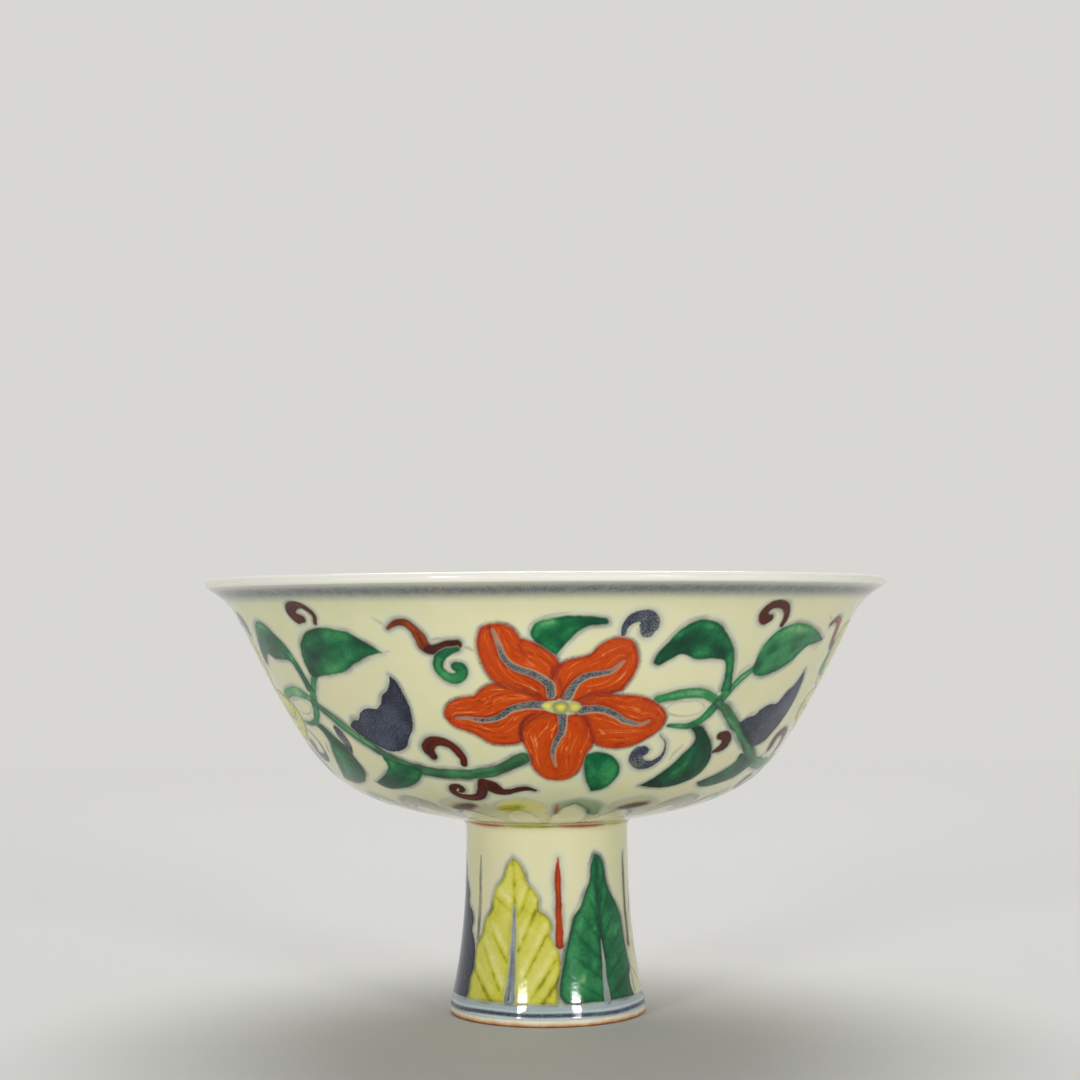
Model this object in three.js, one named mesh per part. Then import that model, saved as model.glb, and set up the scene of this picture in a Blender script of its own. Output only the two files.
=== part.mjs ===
// Porcelain stem bowl: a flared bowl luted with slip onto a hollow stem, under one coat of clear glaze.
// Millimetres, +Z up, origin at the centre of the foot's standing plane, symmetric about +Z.
// Every piece is turned about +Z from a section drawn as [radius, height].

import * as THREE from 'three';

// Overall sizes of the finished, glazed object
const MOUTH_RADIUS = 80; // outermost point of the flared lip
const BOWL_HEIGHT = 55.7; // luted joint up to the top of the rim
const STEM_HEIGHT = 45.8; // standing plane up to the luted joint
const NECK_RADIUS = 19; // narrowest part of the stem, just under the bowl
const FOOT_RADIUS = 23.4; // stem at the standing plane

// Bowl section
const LIP_THICKNESS = 2.3; // the rounded edge of the mouth
const LIP_SLOPE = 28; // degrees from level, where the wall runs into the lip
const BELLY_RADIUS = 58.7; // the fullest bend between underside and wall
const BELLY_HEIGHT = 21.4; // above the luted joint
const BELLY_SLOPE = 59; // degrees from level
const UNDERSIDE_SLOPE = 10; // degrees from level, where the bowl leaves the stem
const WALL_AT_BELLY = 3.1;
const WALL_AT_STEM = 4.4; // thickness of the bowl where it leaves the stem
const WELL_THICKNESS = 3.8; // bowl wall on the axis, above the stem's hollow

// Stem section
const STEM_WALL = 3.2; // level thickness of the glazed wall
const STEM_FLARE = 2.55; // power of the curve that opens the stem towards its foot
const FOOT_BEVEL = 0.6; // both edges of the standing ring
const FILLET_RADIUS = 2.4; // hollow curve between the stem and the bowl's underside
const SLIP_THICKNESS = 0.8; // luting slip between the stem's top edge and the bowl

// Glaze
const GLAZE_THICKNESS = 0.35;
const GLAZE_STOP = 1.7; // bare porcelain shows below this height on the outside of the foot
const BORE_GLAZE_THICKNESS = 0.3;
const BORE_GLAZE_STOP = 2.4; // and below this height inside the stem

// How far each curve runs on along its end slopes, as shares of the straight span that it bridges
const UNDERSIDE_EASE = [0.46, 0.42];
const WALL_EASE = [0.68, 0.25];
const WELL_EASE = [0.35, 0.45];

// Fineness of the faceted solids
const TURN_STEPS = 48;
const STEM_STEPS = 6;
const FILLET_STEPS = 3;
const UNDERSIDE_STEPS = 6;
const WALL_STEPS = 5;
const WELL_STEPS = 3;
const LIP_STEPS = [2, 3, 1]; // below the widest point, up to the top, and over into the bowl

// Sizes that follow
const LIP_RADIUS = LIP_THICKNESS / 2;
const totalHeight = STEM_HEIGHT + BOWL_HEIGHT;
const slope = (degrees) => THREE.MathUtils.degToRad(degrees);
const point = (radius, height) => new THREE.Vector2(radius, height);
const direction = (angle) => point(Math.cos(angle), Math.sin(angle));
const filletCentre = point(
  NECK_RADIUS + FILLET_RADIUS,
  STEM_HEIGHT - (FILLET_RADIUS + GLAZE_THICKNESS) * Math.cos(slope(UNDERSIDE_SLOPE)),
);
const lipCentre = point(MOUTH_RADIUS - LIP_RADIUS, totalHeight - LIP_RADIUS);

// A station is a place on the finished surface and the direction that points out of the material there.
const station = (place, out) => ({ place, out });
const sunk = ({ place, out }, depth) => place.clone().addScaledVector(out, -depth);
const steps = (count) => Array.from({ length: count + 1 }, (_, i) => i / count);

function arcStations(centre, radius, from, to, count, hollow = false) {
  return steps(count).map((share) => {
    const out = direction(from + (to - from) * share);
    const place = centre.clone().addScaledVector(out, radius);
    return station(place, hollow ? out.negate() : out);
  });
}

function easedCurve(start, startAngle, end, endAngle, ease) {
  const span = start.distanceTo(end);
  return new THREE.CubicBezierCurve(
    start,
    start.clone().addScaledVector(direction(startAngle), span * ease[0]),
    end.clone().addScaledVector(direction(endAngle), -span * ease[1]),
    end,
  );
}

function curveStations(curve, count) {
  return steps(count).map((share) => {
    const along = curve.getTangent(share);
    return station(curve.getPoint(share), point(along.y, -along.x));
  });
}

// Outside of the stem: upright at the neck, opening towards the foot
const stemRadius = (height) =>
  NECK_RADIUS + (FOOT_RADIUS - NECK_RADIUS) * (1 - height / filletCentre.y) ** STEM_FLARE;
const boreRadius = (height) => stemRadius(Math.min(height, filletCentre.y)) - STEM_WALL;
const stemHeights = (from) => steps(STEM_STEPS).map((share) => from + (filletCentre.y - from) * share);

function stemStations() {
  return stemHeights(GLAZE_STOP).map((height) => {
    const lean = (STEM_FLARE * (stemRadius(height) - NECK_RADIUS)) / Math.max(filletCentre.y - height, 1e-6);
    return station(point(stemRadius(height), height), point(1, lean).normalize());
  });
}

// Outside of the bowl: hollow curve off the stem, underside, wall, and the rounded lip
const filletStations = arcStations(
  filletCentre, FILLET_RADIUS, Math.PI, Math.PI / 2 + slope(UNDERSIDE_SLOPE), FILLET_STEPS, true,
);
const underStart = filletStations.at(-1).place;
const belly = point(BELLY_RADIUS, STEM_HEIGHT + BELLY_HEIGHT);
const lipStart = slope(LIP_SLOPE) - Math.PI / 2;
const wallEnd = lipCentre.clone().addScaledVector(direction(lipStart), LIP_RADIUS);
const undersideStations = curveStations(
  easedCurve(underStart, slope(UNDERSIDE_SLOPE), belly, slope(BELLY_SLOPE), UNDERSIDE_EASE), UNDERSIDE_STEPS,
);
const wallStations = curveStations(
  easedCurve(belly, slope(BELLY_SLOPE), wallEnd, slope(LIP_SLOPE), WALL_EASE), WALL_STEPS,
);
const lipStations = [
  ...arcStations(lipCentre, LIP_RADIUS, lipStart, 0, LIP_STEPS[0]),
  ...arcStations(lipCentre, LIP_RADIUS, 0, Math.PI / 2, LIP_STEPS[1]).slice(1),
  ...arcStations(lipCentre, LIP_RADIUS, Math.PI / 2, lipStart + Math.PI, LIP_STEPS[2]).slice(1),
];

// Inside of the bowl: the outside again, thicker towards the stem, then the well down to the axis
function insideStations(outside, thickAtStart, thickAtEnd) {
  return outside.map(({ place, out }, i) => {
    const thickness = THREE.MathUtils.lerp(thickAtStart, thickAtEnd, i / (outside.length - 1));
    return station(sunk({ place, out }, thickness), out.clone().negate());
  }).reverse();
}
const insideWall = insideStations(wallStations, WALL_AT_BELLY, LIP_THICKNESS);
const insideLower = insideStations(undersideStations, WALL_AT_STEM, WALL_AT_BELLY);
const wellStations = curveStations(
  easedCurve(
    insideLower.at(-1).place, Math.PI + slope(UNDERSIDE_SLOPE),
    point(0, STEM_HEIGHT + WELL_THICKNESS), Math.PI, WELL_EASE,
  ), WELL_STEPS,
);

// The whole glazed surface, from the glaze line at the foot, over the lip, to the middle of the well
const stretches = [
  filletStations, undersideStations, wallStations, lipStations, insideWall, insideLower, wellStations,
];
const glazedStations = [...stemStations(), ...stretches.flatMap((stretch) => stretch.slice(1))];
function surfaceAt(depth) {
  const path = glazedStations.map((place) => sunk(place, depth));
  return [...path.slice(0, -1), point(0, path.at(-1).y)];
}
const glazePath = surfaceAt(0);
const bodyPath = surfaceAt(GLAZE_THICKNESS);

// The body under the glaze is parted where the slip starts and where the bowl is luted to it.
const lutedAt = STEM_STEPS + FILLET_STEPS;
const bowlPath = bodyPath.slice(lutedAt);
const neckPath = bodyPath.slice(0, lutedAt + 1);
const luteHeight = bowlPath[0].y;
const slipHeight = luteHeight - SLIP_THICKNESS;

function partAt(path, height) {
  const above = path.findIndex((place) => place.y > height);
  const [low, high] = [path[above - 1], path[above]];
  const cut = low.clone().lerp(high, (height - low.y) / (high.y - low.y));
  return { below: [...path.slice(0, above), cut], above: [cut, ...path.slice(above)] };
}
const { below: stemPath, above: slipPath } = partAt(neckPath, slipHeight);
const boreTop = boreRadius(slipHeight);

function turned(name, profile, material) {
  const geometry = new THREE.LatheGeometry(profile, TURN_STEPS);
  geometry.rotateX(Math.PI / 2);
  const mesh = new THREE.Mesh(geometry, material);
  mesh.name = name;
  return mesh;
}

const porcelain = new THREE.MeshStandardMaterial({ color: 0xe6d3b4, roughness: 0.75, metalness: 0 });
const slip = new THREE.MeshStandardMaterial({ color: 0xdccfb8, roughness: 0.8, metalness: 0 });
const glaze = new THREE.MeshStandardMaterial({ color: 0xe4e1c8, roughness: 0.12, metalness: 0 });

// Thrown and moulded bowl, flat underneath where it sits on the slip
function bowlBody() {
  return turned('bowl_body', [point(0, luteHeight), ...bowlPath], porcelain);
}

// Turned stem, hollow right through, standing on a bevelled bare ring
function stemBody() {
  const bareRadius = (height) => stemRadius(height) - GLAZE_THICKNESS;
  const outerEdge = [point(bareRadius(0) - FOOT_BEVEL, 0), point(bareRadius(FOOT_BEVEL), FOOT_BEVEL)];
  const innerEdge = [point(boreRadius(FOOT_BEVEL), FOOT_BEVEL), point(boreRadius(0) + FOOT_BEVEL, 0)];
  const bore = stemHeights(BORE_GLAZE_STOP).reverse().map((height) => point(boreRadius(height), height));
  return turned('stem_body', [
    ...outerEdge, ...stemPath, point(boreTop, slipHeight), ...bore, ...innerEdge, outerEdge[0],
  ], porcelain);
}

// Ring of slip between stem and bowl, wiped into the hollow curve around the outside
function lutingSlip() {
  const inside = [point(boreTop, luteHeight), point(boreTop, slipHeight)];
  return turned('luting_slip', [...slipPath, ...inside, slipPath[0]], slip);
}

// One coat of clear glaze over stem, bowl, lip and inside
function glazeCoat() {
  return turned('glaze_coat', [...bodyPath].reverse().concat(glazePath), glaze);
}

// Glaze that lines the stem's hollow and the underside of the bowl inside it
function stemBoreGlaze() {
  const ceiling = luteHeight - BORE_GLAZE_THICKNESS;
  const heights = stemHeights(BORE_GLAZE_STOP);
  const lining = heights.map((height) => point(boreRadius(height) - BORE_GLAZE_THICKNESS, height)).reverse();
  const backing = heights.map((height) => point(boreRadius(height), height));
  return turned('stem_bore_glaze', [
    point(0, ceiling), point(boreTop - BORE_GLAZE_THICKNESS, ceiling), ...lining,
    ...backing, point(boreTop, slipHeight), point(boreTop, luteHeight), point(0, luteHeight),
  ], glaze);
}

const stemBowl = new THREE.Group();
stemBowl.add(bowlBody(), stemBody(), lutingSlip(), glazeCoat(), stemBoreGlaze());

export default stemBowl;
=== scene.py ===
import math

import bpy
import numpy as np
from mathutils import Matrix, Vector


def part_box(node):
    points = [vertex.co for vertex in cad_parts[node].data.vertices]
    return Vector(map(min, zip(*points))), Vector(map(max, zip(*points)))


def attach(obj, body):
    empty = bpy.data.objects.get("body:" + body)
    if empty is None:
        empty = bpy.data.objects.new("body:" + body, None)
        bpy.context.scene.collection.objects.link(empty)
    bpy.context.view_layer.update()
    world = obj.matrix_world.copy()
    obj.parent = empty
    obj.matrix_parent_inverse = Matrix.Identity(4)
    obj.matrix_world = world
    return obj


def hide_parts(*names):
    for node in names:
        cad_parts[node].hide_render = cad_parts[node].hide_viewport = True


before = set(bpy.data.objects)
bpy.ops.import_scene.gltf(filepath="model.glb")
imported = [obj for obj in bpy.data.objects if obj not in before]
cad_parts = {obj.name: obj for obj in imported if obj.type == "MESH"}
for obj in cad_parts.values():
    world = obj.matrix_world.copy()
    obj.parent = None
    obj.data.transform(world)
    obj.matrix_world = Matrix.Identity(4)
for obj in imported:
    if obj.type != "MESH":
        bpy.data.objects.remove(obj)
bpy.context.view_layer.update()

# Porcelain stem bowl: cobalt drawn under a clear glaze, enamels laid over it.
# Sizes are in millimetres until a mesh is written, which is in metres. Azimuths are in degrees, from the
# side that faces the camera, growing to its right. A place on the outside is an azimuth and an arc length.
MM = 0.001


def box_mm(node):
    low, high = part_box(node)
    return Vector(low) / MM, Vector(high) / MM


# Sizes that the frame gives
MOUTH_RADIUS = box_mm("glaze_coat")[1].x
RIM_HEIGHT = box_mm("glaze_coat")[1].z
JOINT_HEIGHT = box_mm("stem_bore_glaze")[1].z
BORE_GLAZE_STOP = box_mm("stem_bore_glaze")[0].z

# The section's other sizes, as in the CAD source
NECK_RADIUS = 19
FOOT_RADIUS = 23.4
LIP_THICKNESS = 2.3
LIP_SLOPE = math.radians(28)
BELLY_RADIUS = 58.7
BELLY_HEIGHT = 21.4
BELLY_SLOPE = math.radians(59)
UNDERSIDE_SLOPE = math.radians(10)
WALL_AT_BELLY = 3.1
WALL_AT_STEM = 4.4
WELL_THICKNESS = 3.8
STEM_WALL = 3.2
STEM_FLARE = 2.55
FOOT_BEVEL = 0.6
FILLET_RADIUS = 2.4
GLAZE_THICKNESS = 0.35
GLAZE_STOP = 1.7
BORE_GLAZE_THICKNESS = 0.3
UNDERSIDE_EASE = (0.46, 0.42)
WALL_EASE = (0.68, 0.25)
WELL_EASE = (0.35, 0.45)

# Section curves, each an array of [radius, height]


def direction(angle):
    return np.array([math.cos(angle), math.sin(angle)])


def arc(centre, radius, start, end, count=60):
    turn = np.linspace(start, end, count)[:, None]
    return np.array(centre) + radius * np.hstack([np.cos(turn), np.sin(turn)])


def eased_curve(start, start_angle, end, end_angle, ease, count=300):
    start, end = np.array(start), np.array(end)
    span = np.linalg.norm(end - start)
    first = start + span * ease[0] * direction(start_angle)
    second = end - span * ease[1] * direction(end_angle)
    t = np.linspace(0, 1, count)[:, None]
    return (1 - t) ** 3 * start + 3 * t * (1 - t) ** 2 * first + 3 * t * t * (1 - t) * second + t ** 3 * end


def joined(*curves):
    return np.vstack([curves[0]] + [curve[1:] for curve in curves[1:]])


def lengths(path):
    return np.concatenate([[0], np.cumsum(np.hypot(*np.diff(path, axis=0).T))])


def outward(path):
    along = np.gradient(path, lengths(path), axis=0)
    along /= np.linalg.norm(along, axis=1)[:, None]
    return np.column_stack([along[:, 1], -along[:, 0]])


def thickened(path, at_start, at_end):
    depth = np.linspace(at_start, at_end, len(path))[:, None]
    return (path - outward(path) * depth)[::-1]


neck_height = JOINT_HEIGHT - (FILLET_RADIUS + GLAZE_THICKNESS) * math.cos(UNDERSIDE_SLOPE)
lip_radius = LIP_THICKNESS / 2
lip_centre = np.array([MOUTH_RADIUS - lip_radius, RIM_HEIGHT - lip_radius])
lip_start = LIP_SLOPE - math.pi / 2
fillet_centre = (NECK_RADIUS + FILLET_RADIUS, neck_height)
belly = (BELLY_RADIUS, JOINT_HEIGHT + BELLY_HEIGHT)


def stem_radius(height):
    share = 1 - np.minimum(height, neck_height) / neck_height
    return NECK_RADIUS + (FOOT_RADIUS - NECK_RADIUS) * share ** STEM_FLARE


def upright(low, high, inset=0.0, count=300):
    heights = np.linspace(low, high, count)
    return np.column_stack([stem_radius(heights) - inset, heights])


fillet = arc(fillet_centre, FILLET_RADIUS, math.pi, math.pi / 2 + UNDERSIDE_SLOPE)
underside = eased_curve(fillet[-1], UNDERSIDE_SLOPE, belly, BELLY_SLOPE, UNDERSIDE_EASE)
wall = eased_curve(belly, BELLY_SLOPE, lip_centre + lip_radius * direction(lip_start), LIP_SLOPE, WALL_EASE)
lip = arc(lip_centre, lip_radius, lip_start, lip_start + math.pi)
inside_lower = thickened(underside, WALL_AT_STEM, WALL_AT_BELLY)
well_middle = (0, JOINT_HEIGHT + WELL_THICKNESS)
well = eased_curve(inside_lower[-1], math.pi + UNDERSIDE_SLOPE, well_middle, math.pi, WELL_EASE)
bowl_side = joined(underside, wall)
STEM_START = GLAZE_STOP - 0.5
outside = joined(upright(STEM_START, neck_height), fillet, underside, wall, lip)
inside = joined(lip, thickened(wall, WALL_AT_BELLY, LIP_THICKNESS), inside_lower, well)
bowl_length = lengths(bowl_side)[-1]
# Arc length on the outside, which on the stem is close to the height
outside_places = STEM_START + lengths(outside)
bowl_start = STEM_START + lengths(joined(upright(STEM_START, neck_height), fillet))[-1]
outside_normals = outward(outside)

# Camera

CAMERA_PLACE = (0, -0.510, 0.0918)
CAMERA_PITCH = 0.0369
CAMERA_YAW = 0.00236
CAMERA_ROLL = -0.0060
SENSOR_WIDTH = 36
LENS = 71.75

camera_data = bpy.data.cameras.new("camera")
camera_data.sensor_width = SENSOR_WIDTH
camera_data.lens = LENS
camera_data.clip_start = 0.01
camera = bpy.data.objects.new("camera", camera_data)
bpy.context.scene.collection.objects.link(camera)
camera.matrix_world = (
    Matrix.Translation(CAMERA_PLACE)
    @ Matrix.Rotation(CAMERA_YAW, 4, "Z")
    @ Matrix.Rotation(math.pi / 2 + CAMERA_PITCH, 4, "X")
    @ Matrix.Rotation(CAMERA_ROLL, 4, "Z"))
bpy.context.scene.camera = camera
bpy.context.scene.view_settings.view_transform = "Standard"

# Smooth random values from 0 to 1 over the plane, one lattice cell a unit


def noise(x, y, seed, size=64):
    lattice = np.random.default_rng(seed).random((size, size))
    column, row = np.floor(x).astype(int), np.floor(y).astype(int)
    u, v = x - column, y - row
    u, v = u * u * (3 - 2 * u), v * v * (3 - 2 * v)
    left, right, low, high = column % size, (column + 1) % size, row % size, (row + 1) % size
    bottom = lattice[low, left] * (1 - u) + lattice[low, right] * u
    top = lattice[high, left] * (1 - u) + lattice[high, right] * u
    return bottom * (1 - v) + top * v


def step(low, high, value):
    t = np.clip((value - low) / (high - low), 0, 1)
    return t * t * (3 - 2 * t)


def bump(value, width):
    return np.exp(-(value / width) ** 2)


# A smooth line through points; corners are the numbers of the points where it turns sharply


def spline(points, closed=False, corners=(), steps=6):
    points = np.array(points, float)
    if closed:
        ring = np.vstack([points[-1:], points, points[:2]])
    else:
        ring = np.vstack([2 * points[0] - points[1], points, 2 * points[-1] - points[-2]])
    run = np.diff(ring, axis=0)
    gap = np.linalg.norm(run[:, :2], axis=1)[:, None] + 1e-9
    pace = run / gap
    slope = (pace[:-1] * gap[1:] + pace[1:] * gap[:-1]) / (gap[:-1] + gap[1:])
    slope[list(corners)] = 0
    if closed:
        slope[-1] = slope[0]
    knots = ring[1:-1]
    t = np.linspace(0, 1, steps, endpoint=False)[None, :, None]
    a, b = knots[:-1, None], knots[1:, None]
    reach = gap[1:-1, None]
    pull = slope[:-1, None] * reach, slope[1:, None] * reach
    line = (2 * t ** 3 - 3 * t ** 2 + 1) * a + (t ** 3 - 2 * t ** 2 + t) * pull[0]
    line = line + (3 * t ** 2 - 2 * t ** 3) * b + (t ** 3 - t ** 2) * pull[1]
    return np.vstack([line.reshape(-1, points.shape[1]), knots[-1:]])


# Distance to a line whose third column is its half width, with that half width and the length run, at the
# nearest place, the side it is on, and whether the line, taken as closed, goes round the point


def measure(x, y, line):
    nearest = np.full(x.shape, 1e9)
    width, run_there, side = np.zeros(x.shape), np.zeros(x.shape), np.zeros(x.shape)
    inside_it = np.zeros(x.shape, bool)
    run_so_far = 0.0
    for start, end in zip(line[:-1], line[1:]):
        dx, dy = end[:2] - start[:2]
        length = math.hypot(dx, dy)
        if length < 1e-6:
            continue
        px, py = x - start[0], y - start[1]
        t = np.clip((px * dx + py * dy) / length ** 2, 0, 1)
        away = (px - t * dx) ** 2 + (py - t * dy) ** 2
        closer = away < nearest
        nearest = np.where(closer, away, nearest)
        width = np.where(closer, start[2] + t * (end[2] - start[2]), width)
        run_there = np.where(closer, run_so_far + t * length, run_there)
        side = np.where(closer, np.sign(dx * py - dy * px), side)
        if dy:
            inside_it ^= ((start[1] > y) != (end[1] > y)) & (px < dx * py / dy)
        run_so_far += length
    return np.sqrt(nearest), width, run_there, side, inside_it


ENAMELS = ("red", "green", "yellow", "brown")
EDGE = 0.26
OUTLINE_WIDTH = 0.55
HALO = 0.22


# What is painted on one piece of the glaze: a grid of azimuths and arc lengths, with a layer for each colour


class Canvas:
    def __init__(self, azimuths, places, origin):
        self.azimuths, self.places, self.origin = azimuths, places - origin, origin
        self.layer = {name: np.zeros((len(places), len(azimuths))) for name in ENAMELS + ("cobalt", "tone", "bleed")}
        self.unit = 0
        self.shift = 0

    def radius_at(self, place):
        return np.interp(place + self.origin, outside_places, outside[:, 0])

    def spot(self, points, margin=1.6):
        """The part of the grid near a motif, and its places and the motif's points in millimetres."""
        points = np.array(points, float)
        low, high = points[:, :2].min(axis=0), points[:, :2].max(axis=0)
        centre = (low + high) / 2
        scale = math.radians(self.radius_at(centre[1]))
        if points.shape[1] > 2:
            margin += points[:, 2].max()
        reach = (high - low) / 2 + margin / np.array([scale, 1])
        turn = (self.azimuths - centre[0] - self.shift + 180) % 360 - 180
        columns = np.flatnonzero(abs(turn) <= reach[0])
        rows = np.flatnonzero(abs(self.places - centre[1]) <= reach[1])
        if not len(columns) or not len(rows):
            return None
        x, y = np.meshgrid(turn[columns] * scale, self.places[rows] - centre[1])
        seed = self.seed(points)
        sway = 0.12 + 0.3 * (self.unit != 0)
        x = x + sway * (noise(x / 3, y / 3, seed) - 0.5) + 0.14 * (noise(x / 0.9, y / 0.9, seed + 1) - 0.5)
        y = y + sway * (noise(x / 3, y / 3, seed + 2) - 0.5) + 0.14 * (noise(x / 0.9, y / 0.9, seed + 3) - 0.5)
        moved = np.array([(p[0] - centre[0]) * scale for p in points]), points[:, 1] - centre[1]
        return np.ix_(rows, columns), x, y, np.column_stack([*moved, points[:, 2:]]), seed

    def seed(self, points):
        return int(abs(points[:, 0].sum() * 37 + points[:, 1].sum() * 101)) % 9973 + 7 * (self.unit % 4)

    def lay(self, area, enamel, amount, tone=0.0, cover=1.0):
        """Lays an enamel over what is there; no enamel leaves the glaze bare."""
        for name in ENAMELS:
            self.layer[name][area] *= 1 - amount
        if enamel:
            self.layer[enamel][area] += amount * cover
            self.layer["tone"][area] += amount * cover * (tone - self.layer["tone"][area])

    def tint(self, area, density):
        self.layer["cobalt"][area] = np.maximum(self.layer["cobalt"][area], density)

    def halo(self, area, depth, strength):
        self.layer["bleed"][area] = np.maximum(self.layer["bleed"][area], strength * bump(depth + 0.7, 1.1))

    def shape(self, points, enamel, tone=0.0, corners=(), outline=0.42, contrast=0.4, cobalt=0.0, cover=1.0,
              soft=EDGE):
        """A closed form filled with an enamel or with cobalt, with a fuzzy cobalt outline round it."""
        found = self.spot(np.column_stack([points, np.zeros(len(points))]))
        if not found:
            return
        area, x, y, mm, seed = found
        away, _, run, _, within = measure(x, y, spline(mm, True, corners))
        depth = np.where(within, away, -away)
        drift = 0.25 * (noise(run / 6, run * 0, seed + 4) - 0.5)
        if outline:
            weight = outline * (0.45 + 0.9 * noise(run / 3.1, run * 0, seed + 5))
            self.tint(area, weight * bump(depth + 0.25 + drift, OUTLINE_WIDTH))
            self.halo(area, depth, HALO)
        pool = noise(x / 4.2, y / 4.2, seed + 6) - 0.5 + 0.3 * (noise(x / 1.6, y / 1.6, seed + 7) - 0.5)
        shade = tone + 2 * contrast * pool - 0.25 * bump(depth - 0.25, 0.5)
        filled = step(-soft, soft, depth)
        if cobalt:
            self.tint(area, filled * (cobalt + 0.3 * pool + 0.3 * bump(depth, 0.9)))
            self.layer["tone"][area] += filled * (2 * contrast * pool - 0.6 * bump(depth, 1.1))
        else:
            self.lay(area, enamel, filled, shade, cover)

    def clear(self, points, corners=()):
        """Takes the cobalt away inside a closed form."""
        found = self.spot(np.column_stack([points, np.zeros(len(points))]))
        if found:
            area, x, y, mm, _ = found
            away, _, _, _, within = measure(x, y, spline(mm, True, corners))
            self.layer["cobalt"][area] *= step(EDGE, -EDGE, np.where(within, away, -away))

    def shade(self, points, change, soft=0.25):
        """A stroke that makes the enamel under it lighter or darker."""
        found = self.spot(points)
        if not found:
            return
        area, x, y, mm, seed = found
        away, width, run, _, _ = measure(x, y, spline(mm))
        weight = step(soft, -soft, away - width) * (0.55 + 0.8 * noise(run / 1.7, run * 0, seed + 4))
        self.layer["tone"][area] += change * weight

    def stroke(self, points, enamel=None, tone=0.0, outline=0.4, contrast=0.3, cobalt=0.0, cover=1.0, bare=False,
               soft=EDGE):
        """A brush stroke along points, each an azimuth, an arc length and a half width."""
        found = self.spot(points)
        if not found:
            return
        area, x, y, mm, seed = found
        away, width, run, side, _ = measure(x, y, spline(mm))
        depth = width * (1 + 0.25 * (noise(run / 2.3, run * 0 + 2 * side, seed + 4) - 0.5)) - away
        if outline:
            weight = outline * (0.4 + 0.9 * noise(run / 2.7, side, seed + 5))
            self.tint(area, weight * bump(depth + 0.25, OUTLINE_WIDTH))
            self.halo(area, depth, HALO)
        filled = step(-soft, soft, depth)
        pool = noise(run / 3.2, away, seed + 6) - 0.5
        if cobalt:
            self.tint(area, filled * (cobalt + 0.3 * pool))
        if bare:
            self.lay(area, None, filled)
            self.layer["bleed"][area] = np.maximum(self.layer["bleed"][area], 0.7 * filled)
        if enamel:
            shade = tone + 2 * contrast * pool - 0.35 * bump(depth - 0.15, 0.3)
            self.lay(area, enamel, filled, shade, cover)


BRUSH = 1.32


def with_widths(points, *widths):
    """Points with half widths, which are spread evenly over them and widened to what the brush leaves."""
    spread = BRUSH * np.interp(np.linspace(0, 1, len(points)), np.linspace(0, 1, len(widths)), widths)
    return np.column_stack([np.array(points, float), spread])


# The scroll's repeat, a quarter of the bowl, drawn round the flower that faces the camera

FLOWER_CENTRE = (2.7, 52.7)
PETALS = (
    # left
    (((-4.7, 44.7), (-8.5, 43.5), (-11.6, 43.9), (-14.6, 46), (-19.7, 49.1), (-20.4, 51), (-19.3, 53.4),
      (-17, 55.1), (-13.6, 55.8), (-11.6, 57.8), (-9.6, 58.8), (-5, 57.6), (0, 55.5), (1.5, 54.5),
      (1.5, 51.5), (-3.5, 49.5), (-5, 47)), (8,),
     ((-0.1, 53.2), (-2.6, 53.4), (-5.2, 52.9), (-7.2, 52.1), (-8.5, 50.9), (-10.4, 50), (-13, 49.7),
      (-15.5, 50.2), (-17.8, 50.2))),
    # upper left
    (((-5, 57), (-9.6, 59.2), (-11, 62), (-11.8, 66), (-11.7, 69.2), (-10.8, 71.6), (-8.8, 72.6),
      (-6.6, 72.4), (-5, 71), (-4.3, 69.2), (-2.4, 68.5), (0, 66.6), (1.8, 64.8), (2.5, 63.2), (1.8, 61),
      (3, 56), (1.5, 54)), (9,),
     ((1, 56), (0.7, 58.2), (-0.7, 59.6), (-2.6, 61.1), (-4.9, 62.1), (-6.5, 63.4), (-7.5, 65.3),
      (-7.9, 67.3), (-8.3, 69.2), (-8.9, 71.1))),
    # upper right
    (((0.8, 57), (1, 60.5), (2.5, 63.3), (5.1, 64.5), (7.6, 65.4), (9.3, 67.6), (12.5, 69.3),
      (14.7, 68.6), (16.2, 66), (16.6, 63), (16, 60), (14.2, 56.7), (9, 55), (4.5, 54)), (11,),
     ((4.1, 55.4), (4.8, 57.3), (5.7, 58.9), (7.4, 60.3), (9.3, 60.7), (11.2, 61.1), (12.8, 62.4),
      (13.7, 63.7))),
    # right
    (((6, 54.5), (9.5, 56.3), (14.1, 55.8), (18.5, 55.3), (22, 53.5), (24.5, 50.3), (24.3, 47.8),
      (21.5, 44.7), (17.4, 42.7), (13.5, 42.4), (10.6, 43.4), (8.3, 46), (7, 50), (5, 52.5)), (),
     ((6.7, 52.1), (9, 52.3), (11.5, 51.9), (13.5, 50.8), (15.4, 49.5), (17.4, 48.7), (19.3, 48.4),
      (20.9, 49.2))),
    # bottom
    (((10, 44), (8.7, 41.2), (8.2, 39), (7.3, 36.3), (4.8, 33.9), (1.9, 33.5), (-1, 34.7), (-3.1, 37.7),
      (-3.7, 40.4), (-4.3, 42.8), (-5.2, 44.8), (-4.8, 49), (0, 51.9), (3.5, 50.8), (7.3, 51.3),
      (8.9, 47.5)), (8,),
     ((3.2, 50.8), (3.3, 48.5), (3.1, 46.6), (2.2, 44.7), (1.5, 42.4), (1.5, 40.2), (2, 37.9))),
)
RIB_WIDTHS = ((0, 0.25, 0.6, 1), (1.1, 0.9, 0.68, 0.36))
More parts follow.
